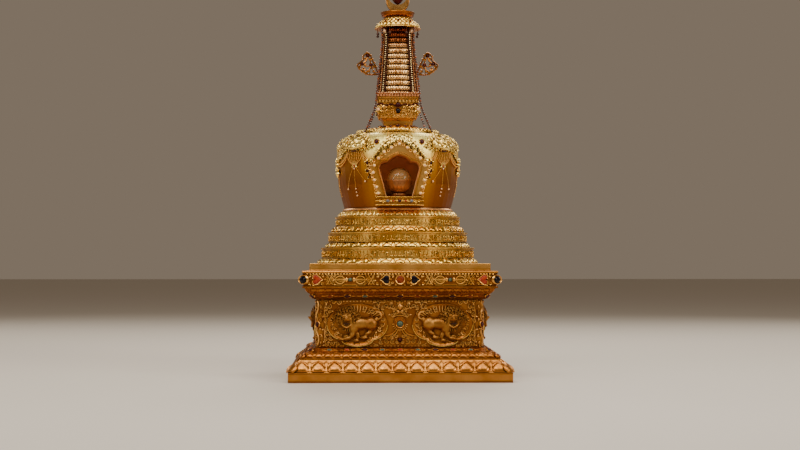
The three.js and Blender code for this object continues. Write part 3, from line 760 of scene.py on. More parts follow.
# Rows of curls round the head: radius, count, height, first and last angle
MANE = ((24, 9, 17, -15, 195), (33, 13, 13, -30, 205), (42, 15, 8, 0, 190))
PAW_BALL = (39, -45)
CHEST_CURLS = table("""6 14 12 200, 2 0 11 180, 8 -13 9 160, 22 -12 8 140, 36 -19 5 120, 50 -16 5 60,
    62 -8 5 30, -6 26 13 220""")
TAIL_CURLS = table("""-84 40 9 100, -70 50 10 60, -54 45 8 20, -90 20 8 140, -88 0 7 160, -40 46 8 80,
    -58 62 6 80, -24 50 7 40""")
CLOUD_CURLS = table("""84 22 9 40, 90 4 7 20, 82 -12 8 330, 74 -32 8 300, 94 20 5 200, -78 -16 8 200,
    -66 -36 8 230, -42 -54 7 250, -56 -44 5 240, 26 -62 6 280, 80 40 7 60, 44 -60 5 200, -88 -24 5 90""")
RIM_CURLS = table("""78 44 5 60, 66 58 5 80, 46 66 4 100, 90 -2 5 0, 70 -24 6 330, 58 -34 5 300,
    -30 66 5 100, -50 30 5 60, -62 -14 5 200, -34 -58 5 250, -8 -66 4 270, 10 -68 4 280, 62 -52 5 300,
    -80 -8 6 180, -98 6 4 170""")
DISH = ((1.0, -7), (1.0, 0.5), (0.97, 1.2), (0.94, 0.2), (0.88, -2.5), (0.76, -4.5), (0.5, -5.4), (0.1, -5.6))
# Points of the rim on each side of its foot that the low bead follows
RIM_STEPS = 20


def blobs(rows, voxel, back):
    """Ellipsoids (x, y, z, rx, ry, rz, turn) melted into one body and cut flat at the back."""
    points, sizes, corners = joined([placed(ball(1, 16, 11), moved(x, y, z, turn, scale=radii))
                                     for x, y, z, *radii, turn in rows])
    mesh = bpy.data.meshes.new("blobs")
    faces = np.split(corners, np.cumsum(sizes)[:-1])
    mesh.from_pydata(points.tolist(), [], [f.tolist() for f in faces])
    obj = bpy.data.objects.new("blobs", mesh)
    bpy.context.scene.collection.objects.link(obj)
    melt = obj.modifiers.new("melt", "REMESH")
    melt.mode = "VOXEL"
    melt.voxel_size = voxel
    soften = obj.modifiers.new("soften", "SMOOTH")
    soften.factor = 0.6
    soften.iterations = 2
    made = obj.evaluated_get(bpy.context.evaluated_depsgraph_get()).to_mesh()
    bm = bmesh.new()
    bm.from_mesh(made)
    cut = bmesh.ops.bisect_plane(bm, geom=bm.verts[:] + bm.edges[:] + bm.faces[:], plane_co=(0, 0, back),
                                 plane_no=(0, 0, 1), clear_inner=True)
    rim = [e for e in cut["geom_cut"] if isinstance(e, bmesh.types.BMEdge)]
    bmesh.ops.holes_fill(bm, edges=rim, sides=0)
    bmesh.ops.recalc_face_normals(bm, faces=bm.faces[:])
    points = np.array([v.co[:] for v in bm.verts])
    sizes = np.array([len(f.verts) for f in bm.faces])
    corners = np.array([v.index for f in bm.faces for v in f.verts])
    bm.free()
    bpy.data.objects.remove(obj)
    return points, sizes, corners


def lion():
    """A crouching lion in relief with open jaws, looking to the right, round (0, 0)."""
    parts = [blobs(LION, 2.7, -3.0)]
    for radius, count, z, low, high in MANE:
        for turn in np.linspace(low, high, count):
            a = math.radians(turn)
            where = moved(36 + radius * 1.08 * math.cos(a), 20 + radius * math.sin(a), z, turn + 40)
            parts.append(placed(volute(5.2, 1.3, 1.9, 10), where))
    parts += [placed(volute(5.6, 1.3, 2.0, 10), moved(*row)) for row in CHEST_CURLS]
    for k in range(7):
        a = math.radians(195 + 14 * k)
        near = np.array((34 + 24 * math.cos(a), 12 + 20 * math.sin(a), 12))
        far = np.array((34 + (48 - 2 * k) * math.cos(a + 0.25), 12 + 40 * math.sin(a + 0.25), 7))
        parts.append(stroke([near, (near + far) / 2 + (0, -3, 1.5), far], 2.2, 7))
    parts.append(placed(domed(oval(14, 14, 18), 10, 4, 4), moved(*PAW_BALL, -2)))
    for radius in (6, 11):
        parts.append(placed(round_line(radius, 9.5 - radius * 0.35, 1.1, 4, 16), moved(*PAW_BALL)))
    for x, y in ((30, 28), (48, 27)):
        parts.append(placed(ball(3.2, 8, 5), moved(x, y, 20)))
    for x, turn in ((14, 40), (62, -40)):
        parts.append(placed(leaf(9, 15, 5), moved(x, 34, 13, turn)))
    for k in range(-3, 4):
        x = 38 + 4.2 * k
        parts.append(placed(domed(oval(1.7, 3.2), 3.5, 2), moved(x, 12.5 + abs(k) * 0.5, 19 - abs(k))))
        parts.append(placed(domed(oval(1.5, 2.6), 3.5, 2), moved(x, -1 + abs(k) ** 1.7, 17 - abs(k) * 0.5)))
    for x, y in ((-22, -44), (59, -50), (7, -55)):
        parts += [stroke([(x + k, y - 5, 8), (x + k + 1, y + 3, 10)], 1.3, 4) for k in (0, 4, 8)]
    return joined(parts)


def tail_and_clouds():
    """The lion's tail, the clouds beside it and the rays above it."""
    parts = [stroke([(-70, 16), (-86, 30), (-80, 46), (-64, 50)], 4.5, 12), scrolls(TAIL_CURLS, -2, 1.3, 2.8),
             scrolls(CLOUD_CURLS, -3, 1.3, 2.5), with_leaves(CLOUD_CURLS, -4, 0.7, 1.4, 4, 130, 0.4)]
    for turn in np.linspace(22, 158, 21):
        c, s = math.cos(math.radians(turn)), math.sin(math.radians(turn))
        parts.append(stroke([(70 * c, 46 * s, -4), (100 * c, 70 * s, -1)], 2.3, 4, 4, 0.6))
    return joined(parts)


def cartouche_rim():
    """Right half from the tip at the foot to the top, then mirrored; anticlockwise round (0, 0)."""
    foot = quads((0, -76), table("26 -74 44 -66, 53 -61 57 -52, 84 -48 97 -28, 106 -16 107 0"), 5)
    right = foot + [(107 * math.cos(a), 76 * math.sin(a)) for a in np.linspace(0, math.pi / 2, 13)[1:]]
    return right + [(-x, y) for x, y in right[-2:0:-1]]


RIM = cartouche_rim()
LOW_RIM = [(x, y, 0) for x, y in RIM[-RIM_STEPS:] + RIM[:RIM_STEPS + 1]]
PLATE = joined([
    stepped([(-268, 118), (268, 118), (268, 287), (-268, 287)], ((1, 290.3), (1, PANEL)), (0, 200)),
    placed(stepped(oval(21, 21, 24), ((1, -1), (1, 6), (0.9, 8)), (0, 0)), moved(0, 206.5, PANEL)),
    pair(placed(stepped(RIM, DISH, (0, 0)), CARTOUCHE)),
])
corner_scrolls()
piece("panel_plates", [placed(PLATE, spot(a)) for a in SIDES], "field",
      [f"throne_panel_{side}" for side in ("front", "right", "back", "left")])
panel = Work("panel")
palmette(panel)
panel.both("lion", lion(), CARTOUCHE @ moved(z=-3))
panel.both("carved", tail_and_clouds(), CARTOUCHE)
# A dark pad in the lion's open jaws: painted shade
panel.both("dark", domed(oval(13, 7), 4, 2), CARTOUCHE @ moved(38, 6, 8))
# A raised bead along the lower rim only, in the brighter petal gilding: partly a real bead, partly a painted
# highlight where the rim faces up into the light
panel.both("petal", tube(LOW_RIM, 1.6), CARTOUCHE @ moved(z=0.6))
panel.both("carved", scrolls(RIM_CURLS, -3.5, 1.3, 2.0, 11), CARTOUCHE)
panel.finish()


# Round tiers: petals, bands of scrolls and lips

# Each tier: its drum's radius, foot and top, and its lip's radius and top
TIER_DRUMS = ((283, 434, 464.7, 287, 472.7), (257, 492.5, 521, 261, 529), (230, 551, 579, 234, 587))
# Each ring: its radius at the foot and at the head, and their heights
LOTUS_RINGS = ((297, 283, 414.8, 434), (266, 255, 473, 492.5), (245, 234, 529.3, 551),
               (219, 207, 587.3, 607.5))
PETAL_LOOKS = ("lobe", "lobe", "lobe_deep", "lobe_lit")
PETALS = 36
MOTIF_PITCH = 14.5
MOTIF_HEIGHT = 30


def scroll_motifs():
    """Six dense upright motifs for the bands, each about 14 mm wide and 25 mm high."""
    bar = stroke([(-5, -11), (-5.5, 0), (-5, 11)], 1.5, 4, 4, 0.7)
    curl = joined([scrolls([(1, 7, 4.6, 200), (0, -7, 4.6, 20)], 0, 1.1, 1.7, 8),
                   stroke([(-3, 5), (1, 1), (3, -5)], 1.6, 5, 4), bar])
    hook = joined([placed(volute(4.2, 1.2, 1.7, 8), moved(0, -6, 0, 100)),
                   placed(leaf(5, 13, 2.6), moved(0, -1)), placed(ball(2, 6, 4), moved(5, 8, 1)),
                   placed(ball(2, 6, 4), moved(-4.5, 9, 1)), bar])
    fleur = joined([placed(leaf(4.76, 14.88, 2.72), moved(0, -3.36)), stroke([(0, -12), (0, -1.2)], 1.7, 4),
                    pair(placed(volute(2.8, 1.1, 1.7, 10), moved(3.78, -4.32, 0, 200)))])
    down = moved(turn=180)
    return fleur, curl, placed(fleur, down), hook, placed(curl, MIRROR), placed(hook, down)


for i, (foot_r, head_r, low, high) in enumerate(LOTUS_RINGS):
    pitch = FULL * foot_r / PETALS
    tilt = (foot_r - head_r) / (high - low)
    units = [round_line(foot_r - 1, low + 1.8, 2.2)]
    for unit, first, up in ((lobe(pitch * 0.84, high - low - 1, 10), 0, -0.5),
                            (leaf(pitch * 0.4, high - low, 4.5), 0.5, 1.5)):
        units += [placed(unit, bent((k + first) * 360 / PETALS, foot_r - 1, low + up, tilt))
                  for k in range(PETALS)]
    piece(f"lotus_petals_{i + 1}", units, PETAL_LOOKS[i])

MOTIFS = scroll_motifs()
for i, (drum, low, high, lip, top) in enumerate(TIER_DRUMS, 1):
    count = round(FULL * drum / MOTIF_PITCH / len(MOTIFS)) * len(MOTIFS)
    tall = moved(scale=(0.95, (high - low) / MOTIF_HEIGHT, 1))
    middle = (low + high) / 2 + 0.5
    units = [placed(MOTIFS[(k * 5 + k // 7) % len(MOTIFS)], tall, bent(k * 360 / count, drum, middle))
             for k in range(count)]
    piece(f"tier_scrolls_{i}", units, "band")
    piece(f"tier_lips_{i}", [round_line(lip - 1, top - 2, 2.6), round_line(drum, high + 1, 1.6),
                             round_line(drum, low + 2, 1.8)], "relief")
piece("dome_torus", [round_line(201, 613, 5.5, 8)], "rose")


# Dome: a smooth skin to place ornament on

def run_along(path):
    """The distance along a path at each of its points."""
    return np.concatenate([[0], np.cumsum(np.linalg.norm(np.diff(path, axis=0), axis=1))])


DOME_SECTION = table("""199 618, 211 661, 222 709, 228 785, 228 815, 226 848, 218 866, 207 878, 194 887,
    180 892""")
DOME_LINE = smooth(DOME_SECTION, 200)[:, :2]
DOME_RUN = run_along(DOME_LINE)
DOME_FACE = np.column_stack([np.gradient(DOME_LINE[:, 1]), -np.gradient(DOME_LINE[:, 0])])
DOME_FACE /= np.linalg.norm(DOME_FACE, axis=1)[:, None]


def dome_at(angle, height, lift=0.0):
    """Lays paper on the dome, its origin at an angle and a height; y follows the dome's curve."""
    start = np.interp(height, DOME_LINE[:, 1], DOME_RUN)
    radius = np.interp(start, DOME_RUN, DOME_LINE[:, 0])

    def place(p):
        r, z, out_r, out_z = (np.interp(start + p[:, 1], DOME_RUN, c) for c in (*DOME_LINE.T, *DOME_FACE.T))
        a = math.radians(angle) + p[:, 0] / radius
        r = r + (p[:, 2] + lift) * out_r
        return np.column_stack([r * np.sin(a), -r * np.cos(a), z + (p[:, 2] + lift) * out_z])
    return place


def beads(path, radius, spacing, sides=5):
    """Balls in a row along a path of points in mm."""
    run = run_along(path)
    at = np.linspace(0, run[-1], max(2, round(run[-1] / spacing) + 1))
    places = np.column_stack([np.interp(at, run, path[:, k]) for k in range(3)])
    return joined([placed(ball(radius, sides, 4), moved(*p)) for p in places])


# Dome: monster masks

MASK_HALF = table("""0 -8 6 25 10 14 0, 0 3 15 8 7 9 0, 23 -3 6 14 12 12 0, 14 9 12 7 6 8 0,
    16 17 12 12 4.5 7 20, 0 20 7 15 10 10 0, 0 4 2 52 20 11 0, 38 2 4 18 18 12 0""")
MASK = [(hand * x, *middle, hand * turn) for x, *middle, turn in MASK_HALF
        for hand in ((1, -1) if x else (1,))]
MASK_CURLS = table("""30 19 6 60, 42 12 6.5 20, 53 3 6.5 350, 44 -7 6.5 320, 55 -14 5.5 300,
    32 -16 5.5 280, 18 28 6 90, 35 30 5.5 60, 57 16 5.5 30, 48 24 5.5 40, 65 1 5 0, 68 12 4.5 30,
    66 -10 4.5 320, 43 -20 4.5 280, 27 27 4.5 100, 8 33 5 100, 72 -1 4 0, 60 25 4.5 60, 45 33 4.5 80,
    31 6 5 30""")
MASK_HEIGHT = 845


def mask():
    """A horned lion mask with a curled mane, round (0, 0)."""
    side = [scrolls(MASK_CURLS, lambda x, y: 13 - 0.06 * x, 1.3, 2.1, 9),
            stroke([(8, 24, 14), (16, 31, 15), (28, 32, 13), (33, 38, 10)], 3, 9, 5, 0.4),
            placed(ball(3.6, 8, 5), moved(14, 9, 18)),
            placed(domed(oval(2.2, 4.5), 4, 2), moved(20, -17, 10)),
            placed(leaf(8, 12, 4), moved(28, 8, 12, -60))]
    teeth = [placed(domed(oval(1.8, 2.6), 3, 2), moved(x, -16, 12)) for x in spread(7, 5)]
    return joined([blobs(MASK, 2.6, -14), pair(joined(side)), *teeth])


masks = Work("mask", ())
MASK_UNIT = mask()
for a in DIAGONALS:
    masks.add("mask", MASK_UNIT, dome_at(a, MASK_HEIGHT))
    # A dark pad in the mask's open mouth: painted shade
    masks.add("dark", domed(oval(19, 5), 8, 3, 10), moved(0, -19, 2), dome_at(a, MASK_HEIGHT))
masks.finish(["mask_front_right", "mask_back_right", "mask_back_left", "mask_front_left"])


# Dome: swags, rosettes and pendants round each mask; offsets are degrees toward the nearer side of the axis

FRINGE = (-9, -6.2, -3.6, -1.2, 1.2, 3.6, 6.2, 9)
# Bead strings: bead radius, spacing and points (offset, height)
STRINGS = ((2.7, 5.8, "9 824, 11.5 802, 15 787, 16 782"), (2.7, 5.8, "9 824, 11.5 793, 15 778, 16 773"),
           (2.7, 5.8, "-9 824, -13 800, -22 783, -31 787"), (2.7, 5.8, "-9 824, -13 791, -22 774, -31 778"),
           (1.8, 4.6, "16 772, 16 735"), (1.8, 4.6, "-31 780, -31 764"),
           (1.9, 4.6, "-31 750, -29.8 726, -31 705"), (2.2, 6.4, "-31 702, -31.6 680, -31 664"),
           (1.7, 5.2, "0 756, 0 720, 0 690"),
           (1.5, 4.6, "2 764, 7 738, 11.5 717"), (1.5, 4.6, "-2 764, -7 730, -11 693"))
# Rosettes: offset, height, stone, size of the leaves and lift
ROSETTES = table("16 779 6 1 6, 16 750 6 0.9 6, -31 788 6 1.2 3.5, -31 756 6.5 1.3 4")
SWAG_PEARLS = table("0 761 3.4, 12 713 4.2, 0 688 3.2, 0 676 3.2, 0 663 3.2, -11.5 688 3.4")
SWAG_SCROLLS = table("""-20 846 7 40, -22 866 7 120, -26 868 6 80, -28 858 7 20, -27.5 846 6 300,
    -25 838 6 240, -31 850 5 0, -30 838 5 320""")
swags = Work("swag", (), "petal")


def swag(a, inner):
    """The swags of the mask at angle a; inner is 1 or -1, the way in which their offsets count."""
    def at(off, height, lift=0.0):
        return dome_at(a + off * inner, height, lift)

    def hang(points, radius, spacing):
        path = np.concatenate([at(off, z, 2.8)(np.zeros((1, 3))) for off, z, _ in smooth(points, 40)])
        swags.add("festoon", beads(path, radius, spacing))

    for off in FRINGE:
        hang([(off * 0.8, 823), (off, 806), (off * 0.7, 788), (off * 0.25, 776)], 2.4, 5.4)
    for radius, spacing, points in STRINGS:
        hang(table(points), radius, spacing)
    for off, height, size, wide, lift in ROSETTES:
        for k in range(6):
            swags.add("mask", leaf(8 * wide, 13 * wide, 3.5 + lift), moved(turn=k * 60) @ moved(0, 3),
                      at(off, height, lift))
        swags.gem("garnet", at(off, height, 2 + lift), size)
    swags.gem("garnet", at(16, 727, 4), 4)
    swags.gem("coral", at(0, 772, 3), 4.5)
    for off, height, radius in SWAG_PEARLS:
        swags.add("pearl", ball(radius, 8, 5), at(off, height, 3))
    for hand in (-1, 1):
        for turn in (-70, -115, -25):
            swags.add("mask", leaf(9, 19, 4), moved(turn=turn * hand), at(0, 772, 1))
        swags.gem("garnet", at(23.4 * hand, 856), 9, cup="relief")
        for turn, out in ((-60, 17.5), (-100, 18.5), (-130, 17)):
            swags.add("mask", leaf(8, 15, 4), moved(turn=turn * hand * inner), at(out * hand, 840, 4))
    for k, t in enumerate(np.linspace(0, 1, 9)):
        off, height = -13 - 17 * t, 846 - 44 * t - 14 * math.sin(math.pi * t)
        swags.add("mask", leaf(9, 15, 4), moved(turn=200 + 50 * k), at(off, height, 2))
        swags.add("mask", volute(6, 1.3, 2.2, 10), moved(turn=70 * k), at(off, height - 3, 2))
    for off, height, size, turn in SWAG_SCROLLS:
        swags.add("mask", volute(size, 1.3, 2.6, 11), moved(turn=turn), at(off, height, 3))
        swags.add("mask", leaf(8, 15, 5), moved(turn=turn + 160), at(off, height, 2))


for a, inner in zip(DIAGONALS, (-1, 1, -1, 1)):
    swag(a, inner)
swags.finish()


# Niche: lining, frame lines, pearls, scrolled crest and sill

PORTAL_FRONT = 240
SILL_FRONT = 256
NICHE_FLOOR = 660
LINING_BACK = 118.4
LINING_FRONT = 236
NICHE_EDGE = quads((48, 656), table("60 706 73 752, 76 784 42 784, 30 800 0 808"), 8)
PORTAL_EDGE = quads((78, 656), table("88 712 106 762"), 8) + quads((96, 778), table("44 812 0 854"), 8)
PORTAL_PEARLS = table("""0 844, 29 831, 55.6 815, 75.2 792, 90.9 766.5, 94.5 740.5, 90 713.7, 82.8 688.7,
    75.4 666""")
PEARL_CUP = stepped(oval(5.5), [(1.25, -1), (1.2, 1.6), (1, 2.2), (0.9, 1)], (0, 0))
CREST_RADIUS = 224
CREST = table("""0 862 9 90, 12 858 8 60, 24 850 8 40, 36 842 8 40, 48 834 7 40, 14 870 8 100,
    27 864 8 60, 40 856 8 30, 52 848 7 20, 60 838 7 20, 30 874 7 90, 44 868 7 60, 72 822 7 40,
    82 810 7 30, 92 796 7 30, 100 784 6 20""")
SILL_GEMS = ((-42, "grey", 7), (43, "grey", 7), (-22, "coral", 4), (22, "coral", 4), (0, "garnet", 7))
SILL_SCROLLS = table("""60 634 5.5 30, 70 641 5.5 200, 60 641 5.5 120, 11 641 5.5 60, 31 641 5.5 100,
    53 641 5.5 260""")


def beside(gap):
    """A line gap mm outward from the niche's edge, from its right foot to its top."""
    p = np.asarray(NICHE_EDGE, float)
    d = np.gradient(p, axis=0)
    d /= np.maximum(np.linalg.norm(d, axis=1), 1e-9)[:, None]
    return np.maximum(p + gap * np.column_stack([d[:, 1], -d[:, 0]]), 0)


def lining():
    """The niche's inner skin: a strip along its walls and a plate at its back."""
    half = beside(-1.5)
    outer, inner = (np.vstack([line * (-1, 1), line[-2::-1]]) for line in (beside(-0.4), half))
    walls = skin([[(*o, LINING_BACK), (*o, LINING_FRONT), (*i, LINING_FRONT), (*i, LINING_BACK)]
                  for o, i in zip(outer, inner)])
    half = half[half[:, 1] > NICHE_FLOOR]
    back = np.vstack([half, half[-2::-1] * (-1, 1)])
    return joined([walls, stepped(back, [(1, LINING_BACK), (1, LINING_BACK + 1.2)])])


portal = Work("niche", (0,), "relief")
portal.add("lining", lining())
for gap, thick in ((3, 2.2), (8, 1.3)):
    portal.both("frame", tube(np.pad(beside(gap), ((0, 0), (0, 1))), thick), moved(z=PORTAL_FRONT))
portal.both("frame", tube(smooth(PORTAL_EDGE, 60), 2.4), moved(z=PORTAL_FRONT - 1))
rows = [(x + 4, z, 7, 40 + 25 * (k % 2) if z < 770 else 110)
        for k, (x, z, _) in enumerate(smooth(PORTAL_EDGE, 17))]
portal.both("frame", scrolls(rows, PORTAL_FRONT - 2, 1.3, 2.2))
for x, z in PORTAL_PEARLS:
    add = portal.both if x else portal.add
    add("relief", PEARL_CUP, moved(x, z, PORTAL_FRONT))
    add("pearl", ball(4.9, 12, 7), moved(x, z, PORTAL_FRONT + 2.6))
crest = Work("crest", ())
for x, z, size, turn in CREST:
    for hand, flip in ((-1, MIRROR), (1, moved())):
        angle = math.degrees(hand * x / CREST_RADIUS)
        crest.add("mask", volute(size, 1.3, 2.8), flip @ moved(turn=turn), dome_at(angle, z, 6))
        crest.add("mask", leaf(8, 14, 4), moved(turn=-hand * (turn - 60)), dome_at(angle, z, 4))
crest.finish()
for x, kind, size in SILL_GEMS:
    portal.gem(kind, moved(x, 639, SILL_FRONT), size, size * 0.75)
portal.both("relief", scrolls(SILL_SCROLLS, SILL_FRONT, 1.2, 1.8, 10))
for z, half in ((625, 86.5), (639, 86.5), (653, 81)):
    line = [(-half, z, -90), (-half, z, 0), (half, z, 0), (half, z, -90)]
    portal.add("relief", tube(line, 1.6, 5), moved(z=SILL_FRONT))
portal.finish()


# Niche: the relic bowl's lotus, the crystal and the grains in it

SEAT = moved(0, -175)
CRYSTAL_R = 46
CRYSTAL_LINE = [(CRYSTAL_R, 717.4)] + [(CRYSTAL_R * math.cos(a), 718 + CRYSTAL_R * math.sin(a))
                                       for a in np.linspace(0.02, 1.55, 12)]
lotus = [placed(unit, bent(k * 360 / 14, *where)) for k in range(14)
         for unit, *where in ((petal(17, 27, 3), 33.5, 681, -0.5), (petal(16, 12, 3), 25.5, 661, 0.4))]
piece("relic_lotus", [placed(unit, SEAT) for unit in (*lotus, round_line(49, 714.5, 2.4, 6, 40))], "relic")
piece("crystal", [placed(lathe(CRYSTAL_LINE, 48), SEAT)], "crystal", ["crystal_dome"])
grains = [placed(ball(5, 10, 6), moved(x, y, 724)) for x, y in circle(6) * 9]
grains.append(placed(ball(6.5, 12, 8), moved(z=733)))
piece("relic_grains", [placed(unit, SEAT) for unit in grains], "carved")


# Crown of the dome: plate, leaves and gems

plate = standing((leaf(13, 13, 4), 154, 899, 64, 12, 0), (leaf(11, 9, 3), 150.5, 893.5, 64, 0, 0.5),
                 (petal(22, 15, 5), 141, 900, 36, 30, 0), (petal(22, 17, 5), 120, 902, 32, 25, 0.5),
                 (petal(19, 17, 5), 99, 904, 30, 15, 0))
plate += [placed(volute(8, 1.3, 2.4, 10), spot(k * 9, 131, 906, 80, k * 70)) for k in range(40)]
plate += [round_line(155, 899.5, 1.6), round_line(149, 893.6, 1.4)]
piece("plate_leaves", plate, "petal")

crown = Work("gem_crown", EIGHTHS)
crown.gem("garnet", stand(0, 67, 925, 50), 8, height=8)
crown.gem("garnet", stand(22.5, 69, 924, 50), 5.5, height=5)
for a in (11.25, -11.25):
    crown.add("pearl", ball(4.6, 10, 6), stand(a, 81, 916))
    crown.add("relief", petal(22, 17, 5), stand(a, 77, 904, -10))
crown.finish()


# Harmika: scrolls, gems and the dark cord

HARMIKA_REACH = 74
HARMIKA_SCROLLS = table("""22 992 8 200, 36 996 8 330, 52 992 8 30, 24 974 8 120, 40 980 9 210,
    56 976 7 300, 18 962 5 100, 33 965 6 20, 48 964 6 160, 65 997 6 90, 66 982 5 60, 60 967 5 240""")
CORD = table("0 998, 8 999, 18 1005, 30 1006, 42 1001, 54 1005, 66 1008, 75 1005")
harmika = Work("harmika")
harmika.add("frame", leaf(28, 40, 3), moved(0, 998, HARMIKA_REACH - 3, 180))
harmika.gem("sapphire", moved(0, 981, HARMIKA_REACH - 1), 9.5, height=6.5, rim=0.35)
harmika.both("frame", scrolls(HARMIKA_SCROLLS, lambda x, z: HARMIKA_REACH - 1 - max(0, 985 - z) * 0.25,
                              1.3, 2.8))
for i in range(6):
    harmika.both("frame", leaf(10, 17, 3.5), moved(7 + i * 12.2, 1009, HARMIKA_REACH))
    harmika.both("frame", ball(2.4, 6, 4), moved(1 + i * 12.2, 1023, HARMIKA_REACH + 1))
    harmika.both("frame", leaf(9, 9, 3), moved(6 + i * 11, 956, HARMIKA_REACH - 9))
harmika.both("garnet", stroke(CORD, 2.2, 22, 6, 1.0), moved(z=HARMIKA_REACH + 1))
harmika.gem("garnet", moved(0, 1005, HARMIKA_REACH), 8, 6.5, 6)
for z, half in ((1028.5, 77), (1024, 77), (1006.5, 74.5)):
    harmika.add("frame", tube([(-half, z, half), (half, z, half)], 1.7))
for pitch, z, reach in ((10, 1047.5, 73), (10.6, 1038, 77)):
    for x in spread(15, pitch):
        harmika.add("umber", ball(5), moved(x, z, reach))
harmika.finish()
corner = Work("harmika_corner", DIAGONALS)
for k in range(6):
    corner.add("petal", leaf(9, 14, 4), moved(0, 986, 72 * CORNER, k * 60) @ moved(0, 4))
corner.add("pearl", ball(7, 12, 7), moved(0, 986, 73 * CORNER + 2))
corner.finish()


# Spire: thirteen rings with bosses and hanging bead strings

RINGS = 13
RIBS = 44
RIB_STEPS = 3
RIB_DEPTH = 3.2
SPIRE_FOOT = 1036.3
SPIRE_TOP = 1300
RING_PITCH = (SPIRE_TOP - SPIRE_FOOT) / RINGS
RING_SECTION = table("""-9 0.01, -8.5 0.14, -2.2 0.2, -0.6 0.3, 0 0.52, -0.7 0.74, -2.4 0.88, -9 0.93,
    -9.5 0.98""")
CHAIN = table("""83 1293.7, 84 1250, 87 1210, 96 1158, 105 1100, 111 1060, 114.5 1034, 118 1008, 127 982,
    142 955, 158 926, 171 905, 179 895""")
INNER_ROUTE = table("58 1278, 58 1243, 63 1188, 71 1095, 76 1050")
# Strings beside the spire: offset in degrees, share of the route's radius, look and bead radius
STRING_ROWS = ((-3, 1, "dark", 3.7), (4.5, 0.98, "string", 2.8), (12, 0.97, "dark", 3.7),
               (19.5, 0.96, "umber", 3.7), (27, 1, "dark", 3.7), (33, 1.04, "umber", 3.7))


def ribbed(radius, z, turn):
    """A ring of points, scalloped into RIBS ribs; turn 0.5 sets the ribs between those of the ring before."""
    t = np.arange(RIBS * RIB_STEPS) * FULL / (RIBS * RIB_STEPS)
    r = radius - RIB_DEPTH * (1 - np.abs(np.sin(t * RIBS / 2 + turn * math.pi)))
    return np.column_stack([r * np.cos(t), r * np.sin(t), np.full(len(t), z)])


def rope(route, angle, radius, spacing, sides=8):
    """Beads along a route of (distance from the axis, height) points at one angle."""
    out, z, _ = smooth(route, 60).T
    a = math.radians(angle)
    return beads(np.column_stack([out * math.sin(a), -out * math.cos(a), z]), radius, spacing, sides)


rings = []
bosses = Work("spire_boss")
for i, r in enumerate(np.linspace(68, 49, RINGS)):
    z = SPIRE_FOOT + i * RING_PITCH
    rings += [ribbed(r + dr, z + dz * RING_PITCH, 0.5 * (i % 2)) for dr, dz in RING_SECTION]
    bosses.add("spire", lobe(14, 15, 7.5), moved(0, z + 0.4 * RING_PITCH - 5, r - 3))
piece("spire", [skin([*rings, ribbed(40, SPIRE_TOP - 0.3, 0)])], "spire", ["spire_rings"])
bosses.finish()
for a, where in zip(DIAGONALS, ("front_right", "back_right", "back_left", "front_left")):
    piece(f"chain_beads_{where}", [rope(CHAIN, a, 4.4, 9.2)], "dark", [f"chain_{where}"])
links = Work("chain_links", DIAGONALS)
links.add("link", rope(CHAIN, 0, 4.7, 27.6), FRONT)
links.add("petal", leaf(16, 22, 5), stand(0, 178, 893, 55) @ moved(0, 8, 0, 180))
links.add("pearl", ball(7.2, 12, 7), stand(0, 73, 1283))
links.finish()
for name, hand, angles in (("a", 1, (45, 225)), ("b", -1, (135, 315))):
    strings = Work(f"inner_strings_{name}", angles)
    for off, closer, kind, size in STRING_ROWS:
        route = np.array(INNER_ROUTE) * (closer, 1)
        strings.add(kind, rope(route, off * hand, size, 7.8, 8 if kind == "string" else 6), FRONT)
    strings.finish()


# Ears: open scrollwork with three gems on each face

EAR_LINE = table("""58 1128, 70 1127, 84 1126, 101 1125.5, 119 1129, 134 1139, 146 1150, 151 1162,
    141 1171, 130 1181, 129 1195, 114 1208, 103 1199, 98 1186, 91 1172, 83 1157, 79 1143, 70 1139, 58 1139""")
EAR_STROKES = ("104 1128, 106 1142, 102 1152, 100 1160", "100 1161, 117 1156, 134 1166",
               "99 1163, 104 1178, 112 1190", "134 1168, 120 1176, 114 1190",
               "58 1133, 78 1134, 90 1128", "84 1150, 92 1156, 99 1160",
               "134 1164, 142 1158, 146 1152", "106 1144, 116 1134, 130 1140")
EAR_SCROLLS = table("""101 1161 9 60, 134 1166 9 300, 113 1197 9 90, 128 1148 7 200, 111 1138 6 320,
    91 1138 6 60, 87 1160 5 140, 121 1184 6 20, 102 1184 5 160, 142 1154 6 320, 121 1165 5 240,
    96 1150 4 120""")
EAR_LEAVES = table("""150 1160 -60, 131 1180 -40, 130 1194 -50, 116 1207 -10, 101 1198 50, 95 1184 55,
    87 1170 60, 80 1155 70, 145 1147 -110, 134 1137 -130, 119 1128 -160""")
ears = Work("ear", (0, 180), "carved")
ears.both("field", stroke(EAR_LINE, 3.0, 90, 6, 0.9), moved(z=0.4))
for line in EAR_STROKES:
    ears.both("field", stroke(table(line), 2.8), moved(z=0.6))
ears.both("field", scrolls(EAR_SCROLLS, 0.6, 1.35, 2.3, 14))
for x, z, turn in EAR_LEAVES:
    ears.both("field", leaf(6, 7.5, 3), moved(x, z, 0.5, turn) @ moved(0, -2))
for x, z, _, _ in EAR_SCROLLS[:3]:
    ears.gem("garnet", moved(x, z, 2), 5.5, height=5, both=True)
ears.finish(["ear_left", "ear_right"])


# Umbrella, bowl and finial

